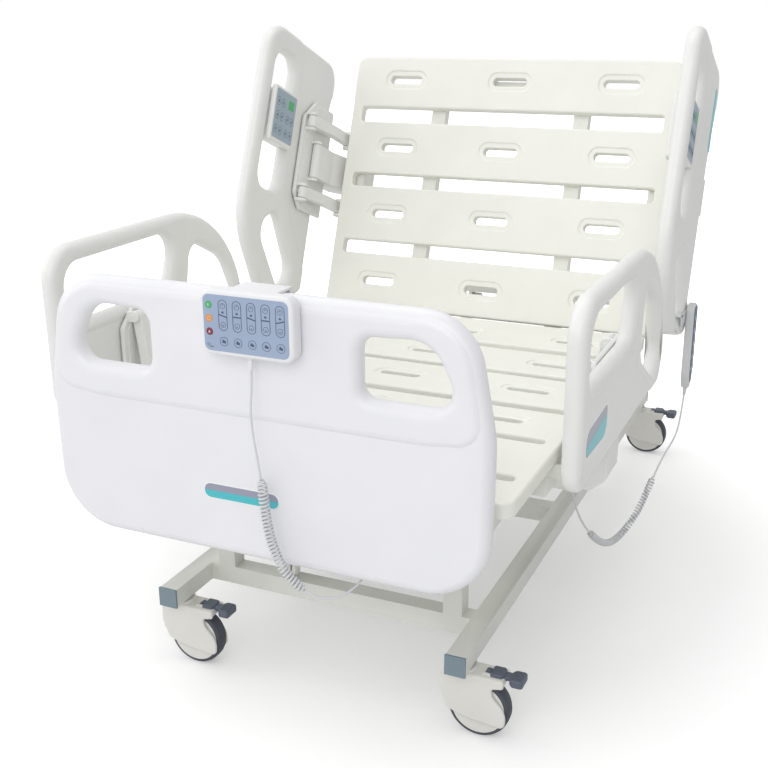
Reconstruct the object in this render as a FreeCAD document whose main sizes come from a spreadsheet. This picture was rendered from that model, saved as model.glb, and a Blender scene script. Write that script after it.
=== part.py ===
import FreeCAD, Part
import math
import os
import re

# Electric hospital bed with four fold-down side rails, without its mattress and headboard.
# X runs across the bed, Y from the foot end to the head end, Z up.
# The origin is on the floor under the middle of the bed.
# The backrest stands raised at its rest pose. Its pieces are drawn flat and then turned about the back hinge.

SIZES = {
    # Base frame of square tubes
    "tube": 40, "base_top": 190, "base_half": 322, "base_foot": -798, "base_head": 901,
    "foot_cross": -640, "mid_cross": -70, "head_cross": 500, "cap_thick": 5, "post_x": 263,
    "post_top": 322,
    # Castors
    "stem_foot": -746, "stem_head": 849, "trail": 34, "wheel_radius": 62.5, "wheel_wide": 32,
    "hood_radius": 59, "hood_wide": 50, "neck_radius": 27, "axle_radius": 5, "pedal_reach": 112,
    "pedal_wide": 30, "pedal_hinge": 50, "pedal_z": 137, "wheel_gap": 1.5,
    # Lift arms and their pivots
    "lift_z": 300, "arm_reach": 400, "lift_angle": 20.5, "arm_in": 218, "arm_thick": 20, "arm_deep": 36,
    "torsion_radius": 16, "stub_radius": 10, "pivot_gap": 0.05, "open_gap": 0.3, "lift_crank": 90,
    "lift_mid": 4.5, "lift_half_turn": 25,
    # Platform frame
    "deck_top": 565, "rail_out": 390, "frame_low": 465, "frame_top": 505, "frame_foot": -895,
    "frame_head": 955, "knee_cross": -540, "seat_cross": 80, "bracket_in": 244, "bracket_thick": 10,
    # Deck panels
    "panel_thick": 30, "panel_half": 450, "gap_half": 420, "panel_corner": 25, "slot_long": 93,
    "slot_wide": 22, "slot_pitch": 300, "recess_long": 116, "recess_wide": 47, "recess_deep": 3,
    "seat_foot": -5, "seat_head": 192, "thigh_foot": -405, "thigh_head": -40, "leg_foot": -897,
    "leg_head": -435, "back_start": 248.6, "back_long": 700, "gap_wide": 37, "narrow_gap": 26,
    "seat_row": 85, "thigh_row": 80, "leg_row": 65, "row_pitch": 95,
    # Section hinges, their frames and levers
    "back_hinge_y": 224.6, "back_hinge_z": 530, "back_angle": 69, "seat_hinge_y": -20,
    "knee_hinge_y": -420, "deck_hinge_z": 522, "hinge_tube": 12, "back_tube": 15, "hinge_pin": 8,
    "hinge_half": 338, "beam_x": 200, "beam_wide": 40, "beam_high": 28, "crank": 100, "crank_x": 110,
    "crank_pin": 6, "crank_half_turn": 34.5, "knee_half_turn": 17.5, "lug_thick": 8,
    # Actuators
    "rod_radius": 11, "rod_gap": 0.3, "shell_radius": 20, "gear_wide": 60, "gear_long": 80,
    "gear_high": 54, "rear_pin": 6, "rear_reach": 14, "motor_radius": 21, "motor_long": 110,
    "motor_side": 46, "eye_thick": 14, "eye_long": 34, "eye_neck": 8, "slot_play": 1.6,
    "lift_bore": 52, "back_bore": 122, "knee_bore": 68,
    # Side rails and their linkage
    "rail_in": 512, "rail_thick": 36, "rail_soft": 8.5, "plate_thick": 10, "link_frame_x": 473,
    "link_rail_x": 488, "link_frame_n": -45, "link_rail_n": 155, "link_drop": 50, "arm_bow": 8,
    "eye_radius": 12, "link_pin": 6, "narrow_wide": 30, "wide_wide": 92, "link_pitch": 97,
    "link_side": 1, "head_link": 371, "foot_link": -505, "carrier_out": 434, "carrier_low": 465,
    "wing_out": 532,
    # Footboard and its hooks
    "board_front": -965, "board_thick": 45, "board_low": 400, "board_top": 898, "board_soft": 14,
    "board_half": 436, "board_waist": 690, "field_half": 410, "field_low": 424, "field_top": 684,
    "field_deep": 2.5, "grip_near": 205, "grip_far": 383, "grip_low": 735, "grip_high": 848,
    "hook_x": 230, "hook_wide": 43, "hook_thick": 8, "socket_wall": 5, "hook_gap": 0.3,
    # Attendant's control panel
    "nurse_mid": 16.5, "nurse_wide": 179, "nurse_low": 793, "nurse_top": 905, "nurse_thick": 29,
    "nurse_soft": 5,
    # Handset
    "handset_mid": 168, "handset_wide": 52, "handset_low": 455, "handset_top": 668, "handset_thick": 20,
    "handset_soft": 4, "strap_thick": 3, "strap_foot": 92, "strap_wide": 16, "strap_z": 649.7,
    "relief_long": 20, "relief_tilt": 25,
    # Cords
    "cord_thick": 5, "nurse_coil_thick": 15, "handset_coil_thick": 13, "gland_radius": 8,
    "gland_high": 12, "nurse_exit_x": 16, "nurse_exit_y": -982, "handset_exit_x": 561,
    "nurse_gland_x": 200, "handset_gland_x": 415, "handset_gland_y": -390,
    # Sockets at the head end
    "head_socket_x": 230, "pole_socket_x": 370, "socket_reach": 17, "socket_bore": 12, "pole_bore": 9.5,
    "socket_outer": 17, "socket_low": 440, "socket_high": 510,
}

doc = FreeCAD.newDocument("hospital_bed")
sheet = doc.addObject("Spreadsheet::Sheet", "Dims")
for row, (alias, value) in enumerate(SIZES.items(), 1):
    sheet.set(f"A{row}", alias)
    sheet.set(f"B{row}", str(value))
    sheet.setAlias(f"B{row}", alias)
doc.recompute()


class Dims:
    """The sheet's values, read by name."""


for alias in SIZES:
    setattr(Dims, alias, float(sheet.get(alias)))

NODES = {}
V = FreeCAD.Vector
ALONG_X = FreeCAD.Rotation(V(0, 1, 0), 90)
ALONG_Y = FreeCAD.Rotation(V(1, 0, 0), -90)
ALONG_Z = FreeCAD.Rotation()
SIDE_VIEW = FreeCAD.Rotation(V(1, 1, 1), 120)
FRONT_VIEW = FreeCAD.Rotation(V(1, 0, 0), 90)


# Places that follow from the sizes: the platform's pivots at rest, and the heights at which the actuators lie
FOOT_PIVOT_Y = "(foot_cross + arm_reach * cos(lift_angle))"
HEAD_PIVOT_Y = "(head_cross + arm_reach * cos(lift_angle))"
TOP_PIVOT_Z = "(lift_z + arm_reach * sin(lift_angle))"
LIFT_SLOT = "(lift_z - lift_crank * (1 + cos(lift_half_turn)) / 2)"
BACK_SLOT = "(back_hinge_z - crank * (1 + cos(crank_half_turn)) / 2)"
KNEE_SLOT = "(deck_hinge_z - crank * (1 + cos(knee_half_turn)) / 2)"
SOCKET_Y = "(frame_head + socket_reach)"


# Ways to draw

def bind(obj, prop, text):
    """Ties a property to an expression of the sheet's names."""
    def named(word):
        return "Dims." + word.group() if word.group() in SIZES else word.group()

    obj.setExpression(prop, re.sub(r"[a-z]\w*", named, str(text)))


def place(obj, turn, at):
    obj.Placement = FreeCAD.Placement(V(), turn)
    for letter, text in zip("xyz", at):
        bind(obj, ".Placement.Base." + letter, text)
    return obj


def block(xs, ys, zs):
    """A box between two places along each axis."""
    obj = doc.addObject("Part::Box", "Block")
    for prop, (low, high) in zip(("Length", "Width", "Height"), (xs, ys, zs)):
        bind(obj, prop, f"({high}) - ({low})")
    return place(obj, ALONG_Z, (xs[0], ys[0], zs[0]))


def cylinder(radius, low, high, turn, at):
    obj = doc.addObject("Part::Cylinder", "Round")
    bind(obj, "Radius", radius)
    bind(obj, "Height", f"({high}) - ({low})")
    return place(obj, turn, at)


def round_x(radius, y, z, low, high):
    return cylinder(radius, low, high, ALONG_X, (low, y, z))


def round_y(radius, x, z, low, high):
    return cylinder(radius, low, high, ALONG_Y, (x, low, z))


def round_z(radius, x, y, low, high):
    return cylinder(radius, low, high, ALONG_Z, (x, y, low))


def fuse(pieces):
    if len(pieces) == 1:
        return pieces[0]
    obj = doc.addObject("Part::MultiFuse", "Welded")
    obj.Shapes = pieces
    obj.Refine = True
    return obj


def cut(base, tools):
    obj = doc.addObject("Part::Cut", "Bored")
    obj.Base = base
    obj.Tool = fuse(tools)
    obj.Refine = True
    return obj


def group(pieces):
    obj = doc.addObject("Part::Compound", "Group")
    obj.Links = pieces
    return obj


def node(name, obj):
    obj.Label = name
    NODES[name] = obj
    return obj


def mirrored(side, low, high):
    """A stretch of X on the right side (+1) or its mirror image on the left (-1)."""
    return (low, high) if side > 0 else (f"-({high})", f"-({low})")


def turned_about_x(obj, y, z, angle):
    """Turns a finished piece about an axis along X."""
    turn = FreeCAD.Placement(V(), FreeCAD.Rotation(V(1, 0, 0), angle), V(0, y, z))
    obj.Placement = turn.multiply(obj.Placement)
    return obj


def raised(obj):
    """Turns a piece of the backrest from flat to its rest pose."""
    return turned_about_x(obj, Dims.back_hinge_y, Dims.back_hinge_z, Dims.back_angle)


def rounded(corners):
    """Lines and tangent arcs round a closed polygon of (x, y, radius) corners."""
    geometry = []
    count = len(corners)
    starts = []
    ends = []
    for i, (x, y, radius) in enumerate(corners):
        here = V(x, y, 0)
        before = V(*corners[i - 1][:2], 0) - here
        after = V(*corners[(i + 1) % count][:2], 0) - here
        before.normalize()
        after.normalize()
        half = before.getAngle(after) / 2
        reach = radius / math.tan(half)
        first = here + before * reach
        last = here + after * reach
        middle = before + after
        middle.normalize()
        centre = here + middle * (radius / math.sin(half))
        crown = centre - middle * radius
        geometry.append(Part.Arc(first, crown, last))
        starts.append(first)
        ends.append(last)
    for i in range(count):
        run = (starts[(i + 1) % count] - ends[i]).Length
        if run > 1e-4:
            geometry.append(Part.LineSegment(ends[i], starts[(i + 1) % count]))
    return geometry


def mirror_outline(corners):
    return [(-x, y, radius) for x, y, radius in corners]


def circle(x, y, radius):
    return [Part.Circle(V(x, y, 0), V(0, 0, 1), radius)]


def plane_of(body, role):
    return next(feature for feature in body.Origin.OriginFeatures if feature.Role == role)


def sketch_on(body, loops, lift=0):
    sketch = body.newObject("Sketcher::SketchObject", "Profile")
    sketch.AttachmentSupport = [(plane_of(body, "XY_Plane"), "")]
    sketch.MapMode = "FlatFace"
    sketch.AttachmentOffset = FreeCAD.Placement(V(0, 0, lift), FreeCAD.Rotation())
    for loop in loops:
        sketch.addGeometry(loop, False)
    return sketch


def moulding(loops, thick, soft=None, turn=None, at=(0, 0, 0)):
    """A flat body padded from an outline and its holes, with both faces' edges rounded by soft."""
    body = doc.addObject("PartDesign::Body", "Moulding")
    pad = body.newObject("PartDesign::Pad", "Pad")
    pad.Profile = sketch_on(body, loops)
    bind(pad, "Length", thick)
    if soft:
        doc.recompute()
        faces = [
            f"Face{i}" for i, face in enumerate(pad.Shape.Faces, 1)
            if face.Surface.TypeId == "Part::GeomPlane" and abs(face.normalAt(0, 0).z) > 0.99
        ]
        fillet = body.newObject("PartDesign::Fillet", "Soft")
        fillet.Base = (pad, faces)
        bind(fillet, "Radius", soft)
        body.Tip = fillet
    body.Placement = FreeCAD.Placement(V(*at), turn or FreeCAD.Rotation())
    return body


def pocket(body, loops, depth, lift):
    """Cuts the loops down into a body from the height lift."""
    cutter = body.newObject("PartDesign::Pocket", "Pocket")
    cutter.Profile = sketch_on(body, loops, lift)
    bind(cutter, "Length", depth)
    body.Tip = cutter
    return body


# Base frame: two long tubes, three cross tubes, four posts that carry the lift pivots

def base_frame():
    low = "base_top - tube"
    pieces = []
    for side in (-1, 1):
        xs = (f"{side} * base_half - tube / 2", f"{side} * base_half + tube / 2")
        pieces.append(block(xs, ("base_foot", "base_head"), (low, "base_top")))
    for cross in ("foot_cross", "mid_cross", "head_cross"):
        xs = ("tube / 2 - base_half", "base_half - tube / 2")
        pieces.append(block(xs, (f"{cross} - tube / 2", f"{cross} + tube / 2"), (low, "base_top")))
    bores = []
    for cross in ("foot_cross", "head_cross"):
        for side in (-1, 1):
            xs = (f"{side} * post_x - tube / 2", f"{side} * post_x + tube / 2")
            pieces.append(block(xs, (f"{cross} - tube / 2", f"{cross} + tube / 2"), ("base_top", "post_top")))
            bores.append(round_x("stub_radius + pivot_gap", cross, "lift_z", xs[0], xs[1]))
    # Two pairs of ears on the middle tube hold the rear ends of the lift actuators
    for side in (-1, 1):
        reach = "(tube / 2 + rear_reach + 9)"
        near = "mid_cross" if side > 0 else f"mid_cross - {reach}"
        far = f"mid_cross + {reach}" if side > 0 else "mid_cross"
        for offset in (-1, 1):
            x = f"{side} * crank_x + {offset} * 12"
            pieces.append(block((f"{x} - 3", f"{x} + 3"), (near, far), ("base_top", "base_top + 40")))
        pieces.append(round_x(
            "rear_pin", f"mid_cross + {side} * (tube / 2 + rear_reach)", LIFT_SLOT,
            f"{side} * crank_x - 13", f"{side} * crank_x + 13"))
    node("base_frame", cut(fuse(pieces), bores))
    caps = []
    for side in (-1, 1):
        xs = (f"{side} * base_half - tube / 2 - 1", f"{side} * base_half + tube / 2 + 1")
        zs = (f"{low} - 1", "base_top + 1")
        caps.append(block(xs, ("base_foot - cap_thick", "base_foot"), zs))
        caps.append(block(xs, ("base_head", "base_head + cap_thick"), zs))
    node("tube_end_caps", group(caps))


# Castors: the stem is fixed in the tube, the hood swivels on it, the wheel rolls, the pedal rocks

def castors():
    stems = []
    for place_name, sx, sy in CASTORS:
        stem_x = f"{sx} * base_half"
        stems.append(fuse([
            round_z("neck_radius - 5", stem_x, sy, "base_top - tube - 3", "base_top - tube"),
            round_z("8", stem_x, sy, "base_top - tube - 16", "base_top - tube - 3"),
        ]))
        wheel_x = f"{stem_x} + trail"
        half = "hood_wide / 2"
        cheek = round_y("hood_radius", wheel_x, "wheel_radius", f"{sy} - {half}", f"{sy} + {half}")
        neck = round_z("neck_radius", stem_x, sy, "wheel_radius + 20", "base_top - tube - 4")
        saddle = block(
            (stem_x, f"{wheel_x} + 14"), (f"{sy} - {half}", f"{sy} + {half}"),
            ("wheel_radius + 20", "wheel_radius * 2 + 5"))
        well = round_y(
            "wheel_radius + 1.5", wheel_x, "wheel_radius",
            f"{sy} - wheel_wide / 2 - wheel_gap", f"{sy} + wheel_wide / 2 + wheel_gap")
        bore = round_z("8 + pivot_gap", stem_x, sy, "base_top - tube - 17", "base_top - tube")
        hood = cut(fuse([cheek, neck, saddle]), [well, bore])
        axle = round_y("axle_radius", wheel_x, "wheel_radius", f"{sy} - {half}", f"{sy} + {half}")
        pivot_x = f"{stem_x} + pedal_hinge"
        ears = []
        for turn in (-1, 1):
            outer = f"{sy} + {turn} * (pedal_wide / 2 - 3)"
            ears.append(block(
                (f"{pivot_x} - 26", f"{pivot_x} + 5"), (f"{outer} - 3", f"{outer} + 3"),
                ("wheel_radius * 2 + 4", "pedal_z + 5")))
        pin = round_y("3", pivot_x, "pedal_z", f"{sy} - pedal_wide / 2", f"{sy} + pedal_wide / 2")
        node(f"castor_hood_{place_name}", fuse([hood, axle, pin] + ears))
        rim = round_y(
            "wheel_radius", wheel_x, "wheel_radius", f"{sy} - wheel_wide / 2", f"{sy} + wheel_wide / 2")
        rounded_rim = doc.addObject("Part::Fillet", "Tread")
        rounded_rim.Base = rim
        doc.recompute()
        rounded_rim.Edges = [
            (i, 7.0, 7.0) for i, edge in enumerate(rim.Shape.Edges, 1)
            if edge.Curve.TypeId == "Part::GeomCircle"]
        hole = round_y(
            "axle_radius + pivot_gap", wheel_x, "wheel_radius",
            f"{sy} - wheel_wide / 2", f"{sy} + wheel_wide / 2")
        node(f"castor_wheel_{place_name}", cut(rounded_rim, [hole]))
        node(f"castor_pedal_{place_name}", pedal(pivot_x, stem_x, sy))
    node("castor_stems", group(stems))


def pedal(pivot_x, stem_x, sy):
    """A rocking pedal with a waist between its hub and its foot pad."""
    inner = "(pedal_wide / 2 - 7)"
    hub = round_y("6.5", pivot_x, "pedal_z", f"{sy} - {inner}", f"{sy} + {inner}")
    neck = block(
        (pivot_x, f"{stem_x} + 76"), (f"{sy} - {inner}", f"{sy} + {inner}"), ("pedal_z - 5", "pedal_z + 5"))
    pad = block(
        (f"{stem_x} + 72", f"{stem_x} + pedal_reach"), (f"{sy} - pedal_wide / 2", f"{sy} + pedal_wide / 2"),
        ("pedal_z - 10", "pedal_z + 8"))
    bore = round_y("3 + pivot_gap", pivot_x, "pedal_z", f"{sy} - pedal_wide / 2", f"{sy} + pedal_wide / 2")
    return cut(fuse([hub, neck, pad]), [bore])


CASTORS = (
    ("foot_left", -1, "stem_foot"), ("foot_right", 1, "stem_foot"),
    ("head_left", -1, "stem_head"), ("head_right", 1, "stem_head"),
)


# Levers and actuators. A lever is two cheeks with a pin between them.
# The rod's eye is slotted round that pin.

def lever(x, y, z, reach, lean):
    """Hangs from an axis along X at (y, z), leaning towards the head end by lean degrees."""
    pieces = []
    for side in (-1, 1):
        near = f"({x}) + {side} * (eye_thick / 2 + 1 + lug_thick / 2)"
        xs = (f"{near} - lug_thick / 2", f"{near} + lug_thick / 2")
        pieces.append(block(xs, (f"{y} - 12", f"{y} + 12"), (f"{z} - {reach}", z)))
        pieces.append(round_x("12", y, f"{z} - {reach}", xs[0], xs[1]))
    half = "(eye_thick / 2 + 1 + lug_thick)"
    pieces.append(round_x("crank_pin", y, f"{z} - {reach}", f"({x}) - {half}", f"({x}) + {half}"))
    whole = fuse(pieces)
    return turned_about_x(whole, getattr(Dims, y), getattr(Dims, z), lean)


def actuator(name, x, rear, heading, front, slot_z, half_slot, pin_y, inner_end, deep):
    """Housing from rear ears to mouth, and the rod with its slotted eye. heading is +1 towards the head.

    The bore goes on behind the rod's inner end for deep, which the rod needs when it goes in.
    """
    def along(low, high):
        return (low, high) if heading > 0 else (high, low)

    gear_end = f"({rear}) + {heading} * (30 + gear_long)"
    shell = round_y("shell_radius", x, slot_z, *along(gear_end, front))
    gear = block(
        (f"({x}) - gear_wide / 2", f"({x}) + gear_wide / 2"), along(f"({rear}) + {heading} * 30", gear_end),
        (f"({slot_z}) - gear_high / 2", f"({slot_z}) + gear_high / 2"))
    side = 1 if x == "crank_x" else -1
    motor = round_y(
        "motor_radius", f"({x}) + {side} * motor_side", slot_z,
        *along(f"({rear}) + {heading} * 34", f"({rear}) + {heading} * (34 + motor_long)"))
    ear = block(
        (f"({x}) - 7", f"({x}) + 7"), along(rear, f"({rear}) + {heading} * 34"),
        (f"({slot_z}) - 12", f"({slot_z}) + 12"))
    rear_bore = round_x("rear_pin", f"({rear}) + {heading} * rear_reach", slot_z, f"({x}) - 7", f"({x}) + 7")
    bore = round_y("rod_radius + rod_gap", x, slot_z, *along(f"({inner_end}) - {heading} * {deep}", front))
    node(f"{name}_housing", cut(fuse([shell, gear, motor, ear]), [bore, rear_bore]))
    # The eye's neck keeps the round shaft clear of the lever's cheeks
    shaft = round_y(
        "rod_radius", x, slot_z, *along(inner_end, f"({pin_y}) - {heading} * (eye_long / 2 + eye_neck - 5)"))
    eye = block(
        (f"({x}) - eye_thick / 2", f"({x}) + eye_thick / 2"),
        along(f"({pin_y}) - {heading} * (eye_long / 2 + eye_neck)", f"({pin_y}) + {heading} * eye_long / 2"),
        (f"({slot_z}) - ({half_slot}) - 7", f"({slot_z}) + ({half_slot}) + 7"))
    slot = block(
        (f"({x}) - eye_thick / 2", f"({x}) + eye_thick / 2"),
        (f"({pin_y}) - crank_pin - slot_play", f"({pin_y}) + crank_pin + slot_play"),
        (f"({slot_z}) - ({half_slot})", f"({slot_z}) + ({half_slot})"))
    node(f"{name}_rod", cut(fuse([shaft, eye]), [slot]))


def actuators():
    # The lift levers lean lift_mid degrees at rest, and swing lift_half_turn each way
    lift_half = "lift_crank * (1 - cos(lift_half_turn)) / 2 + crank_pin + 1"
    lift_pin = "- lift_crank * sin(lift_mid)"
    actuator(
        "foot_lift_actuator", "-crank_x", "mid_cross - tube / 2", -1, "foot_cross + 80", LIFT_SLOT, lift_half,
        f"foot_cross {lift_pin}", "foot_cross + 240", "lift_bore")
    actuator(
        "head_lift_actuator", "crank_x", "mid_cross + tube / 2", 1, "head_cross - 80", LIFT_SLOT, lift_half,
        f"head_cross {lift_pin}", "head_cross - 240", "lift_bore")
    actuator(
        "back_actuator", "-crank_x", f"{FOOT_PIVOT_Y} + tube / 2", 1,
        "back_hinge_y - 90", BACK_SLOT,
        "crank * (1 - cos(crank_half_turn)) / 2 + crank_pin + 1",
        "back_hinge_y + crank * sin(crank_half_turn)", "30", "back_bore")
    actuator(
        "knee_actuator", "crank_x", "knee_cross + tube / 2", 1, "seat_hinge_y - 65",
        KNEE_SLOT,
        "crank * (1 - cos(knee_half_turn)) / 2 + crank_pin + 1",
        "seat_hinge_y + crank * sin(knee_half_turn)", "-240", "knee_bore")


# Lift arms: a torsion tube with two arms, stub pins at both ends and the lever

def lift_arms(name, cross, x):
    pieces = [round_x("torsion_radius", cross, "lift_z", "-arm_in", "arm_in")]
    for side in (-1, 1):
        xs = mirrored(side, "arm_in", "arm_in + arm_thick")
        bar = block(xs, (cross, f"{cross} + arm_reach"), ("lift_z - arm_deep / 2", "lift_z + arm_deep / 2"))
        eyes = [round_x("arm_deep / 2", y, "lift_z", *xs) for y in (cross, f"{cross} + arm_reach")]
        low_pin = mirrored(side, "arm_in", "post_x + tube / 2")
        top_pin = mirrored(side, "arm_in", "bracket_in + bracket_thick + 2")
        stubs = [
            round_x("stub_radius", cross, "lift_z", *low_pin),
            round_x("stub_radius", f"{cross} + arm_reach", "lift_z", *top_pin),
        ]
        arm = fuse([bar] + eyes + stubs)
        pieces.append(turned_about_x(arm, getattr(Dims, cross), Dims.lift_z, Dims.lift_angle))
    pieces.append(lever(x, cross, "lift_z", "lift_crank", -Dims.lift_mid))
    node(name, fuse(pieces))


# Platform frame: side tubes, cross tubes, hinge ears, rail carriers, hook sockets and head end sockets

def hinge_ear(side, y, z, radius):
    """A plate on the side tube's inner face with a stub pin for a section's hinge tube."""
    return fuse([
        block(
            mirrored(side, "hinge_half + 2", "rail_out - tube"), (f"{y} - 14", f"{y} + 14"),
            ("frame_low", z)),
        round_x("14", y, z, *mirrored(side, "hinge_half + 2", "rail_out - tube")),
        round_x(radius, y, z, *mirrored(side, "hinge_half - 22", "hinge_half + 2")),
    ])


def carrier(side, inner, mid, low_z, top_z, offset_z):
    """The bar outside a frame's side with ears and pins for one rail's three arms, in flat coordinates."""
    edge = "(link_pitch + narrow_wide / 2 + 10)"
    pieces = [block(
        mirrored(side, inner, "carrier_out"), (f"({mid}) - {edge}", f"({mid}) + {edge}"), (low_z, top_z))]
    for step, wide, drop in ((-1, "narrow_wide", 0), (0, "wide_wide", 1), (1, "narrow_wide", 0)):
        pivot = f"({offset_z} + link_frame_n - {drop} * link_drop)"
        centre = f"(({mid}) + {step} * link_pitch)"
        for end in (-1, 1):
            near = f"({centre} + {end} * ({wide} / 2 + link_side + lug_thick / 2))"
            ys = (f"{near} - lug_thick / 2", f"{near} + lug_thick / 2")
            pieces.append(block(
                mirrored(side, "carrier_out - 5", "link_frame_x"), ys, (f"{pivot} - 13", f"{pivot} + 13")))
            pieces.append(round_y("13", f"{side} * link_frame_x", pivot, *ys))
        reach = f"({wide} / 2 + link_side + 1)"
        pieces.append(round_y(
            "link_pin", f"{side} * link_frame_x", pivot, f"{centre} - {reach}", f"{centre} + {reach}"))
    return pieces


def rear_ears(x, y, z):
    """Two ears under a cross tube with the pin of an actuator's rear end."""
    pieces = [round_x("rear_pin", f"{y} + rear_reach", z, f"({x}) - 13", f"({x}) + 13")]
    for end in (-1, 1):
        near = f"({x}) + {end} * 12"
        pieces.append(block(
            (f"{near} - 3", f"{near} + 3"), (f"{y} - 10", f"{y} + rear_reach + 9"),
            (f"{z} - 10", "frame_low")))
    return fuse(pieces)


def hook_socket(side):
    """A flat steel socket on the end tube's front that takes one of the footboard's hooks."""
    centre = f"{side} * hook_x"
    hook_y = "board_front + board_thick + 8"
    zs = ("frame_low - 10", "frame_top + 5")
    outside = block(
        (f"{centre} - hook_wide / 2 - socket_wall", f"{centre} + hook_wide / 2 + socket_wall"),
        (f"{hook_y} - 4", "frame_foot"), zs)
    slot = block(
        (f"{centre} - hook_wide / 2 - hook_gap", f"{centre} + hook_wide / 2 + hook_gap"),
        (f"{hook_y} - hook_gap", f"{hook_y} + hook_thick + hook_gap"), zs)
    return cut(outside, [slot])


def head_sockets(side):
    """A bar behind the head end tube with two upright sockets, for a headboard and for a pole."""
    pieces = [block(
        mirrored(side, "head_socket_x - 12", "rail_out"), ("frame_head", SOCKET_Y),
        ("frame_low", "frame_top"))]
    bores = []
    for x, bore in (("head_socket_x", "socket_bore"), ("pole_socket_x", "pole_bore")):
        pieces.append(round_z("socket_outer", f"{side} * {x}", SOCKET_Y, "socket_low", "socket_high"))
        bores.append(round_z(bore, f"{side} * {x}", SOCKET_Y, "socket_low", "socket_high"))
    return cut(fuse(pieces), bores)


def platform_frame():
    """The welded platform: its tubes, plates and sockets meet face to face."""
    zs = ("frame_low", "frame_top")
    inner = ("tube - rail_out", "rail_out - tube")
    pieces = []
    crossings = (
        "frame_foot + tube / 2", "knee_cross", FOOT_PIVOT_Y, "seat_cross", HEAD_PIVOT_Y,
        "frame_head - tube / 2")
    for centre in crossings:
        pieces.append(block(inner, (f"({centre}) - tube / 2", f"({centre}) + tube / 2"), zs))
    for side in (-1, 1):
        pieces.append(block(mirrored(side, "rail_out - tube", "rail_out"), ("frame_foot", "frame_head"), zs))
        # Riser under the seat panel
        pieces.append(block(
            mirrored(side, "rail_out - tube + 5", "rail_out - 5"), ("seat_foot + 5", "seat_head - 7"),
            ("frame_top", "deck_top - panel_thick")))
        pieces.append(hinge_ear(side, "back_hinge_y", "back_hinge_z", "hinge_pin"))
        pieces.append(hinge_ear(side, "seat_hinge_y", "deck_hinge_z", "hinge_pin"))
        pieces.append(fuse(carrier(
            side, "rail_out", "foot_link", "carrier_low", "deck_top - 32", "deck_top")))
        pieces.append(hook_socket(side))
        pieces.append(head_sockets(side))
        # Plates under the cross tubes for the lift arms' top pivots
        for pivot_y, gap in ((FOOT_PIVOT_Y, "pivot_gap"), (HEAD_PIVOT_Y, "open_gap")):
            xs = mirrored(side, "bracket_in", "bracket_in + bracket_thick")
            plate = fuse([
                block(xs, (f"{pivot_y} - 20", f"{pivot_y} + 20"), (TOP_PIVOT_Z, "frame_low")),
                round_x("20", pivot_y, TOP_PIVOT_Z, *xs)])
            pieces.append(cut(plate, [round_x(f"stub_radius + {gap}", pivot_y, TOP_PIVOT_Z, *xs)]))
    pieces.append(rear_ears("-crank_x", f"{FOOT_PIVOT_Y} + tube / 2", BACK_SLOT))
    pieces.append(rear_ears("crank_x", "knee_cross + tube / 2", KNEE_SLOT))
    # Glands for the two cords
    pieces.append(round_z(
        "gland_radius", "handset_gland_x", "handset_gland_y", "carrier_low - gland_high", "carrier_low"))
    pieces.append(round_z(
        "gland_radius", "nurse_gland_x", "frame_foot + tube / 2", "frame_low - gland_high", "frame_low"))
    node("platform_frame", group(pieces))


# Section frames under the panels

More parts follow.
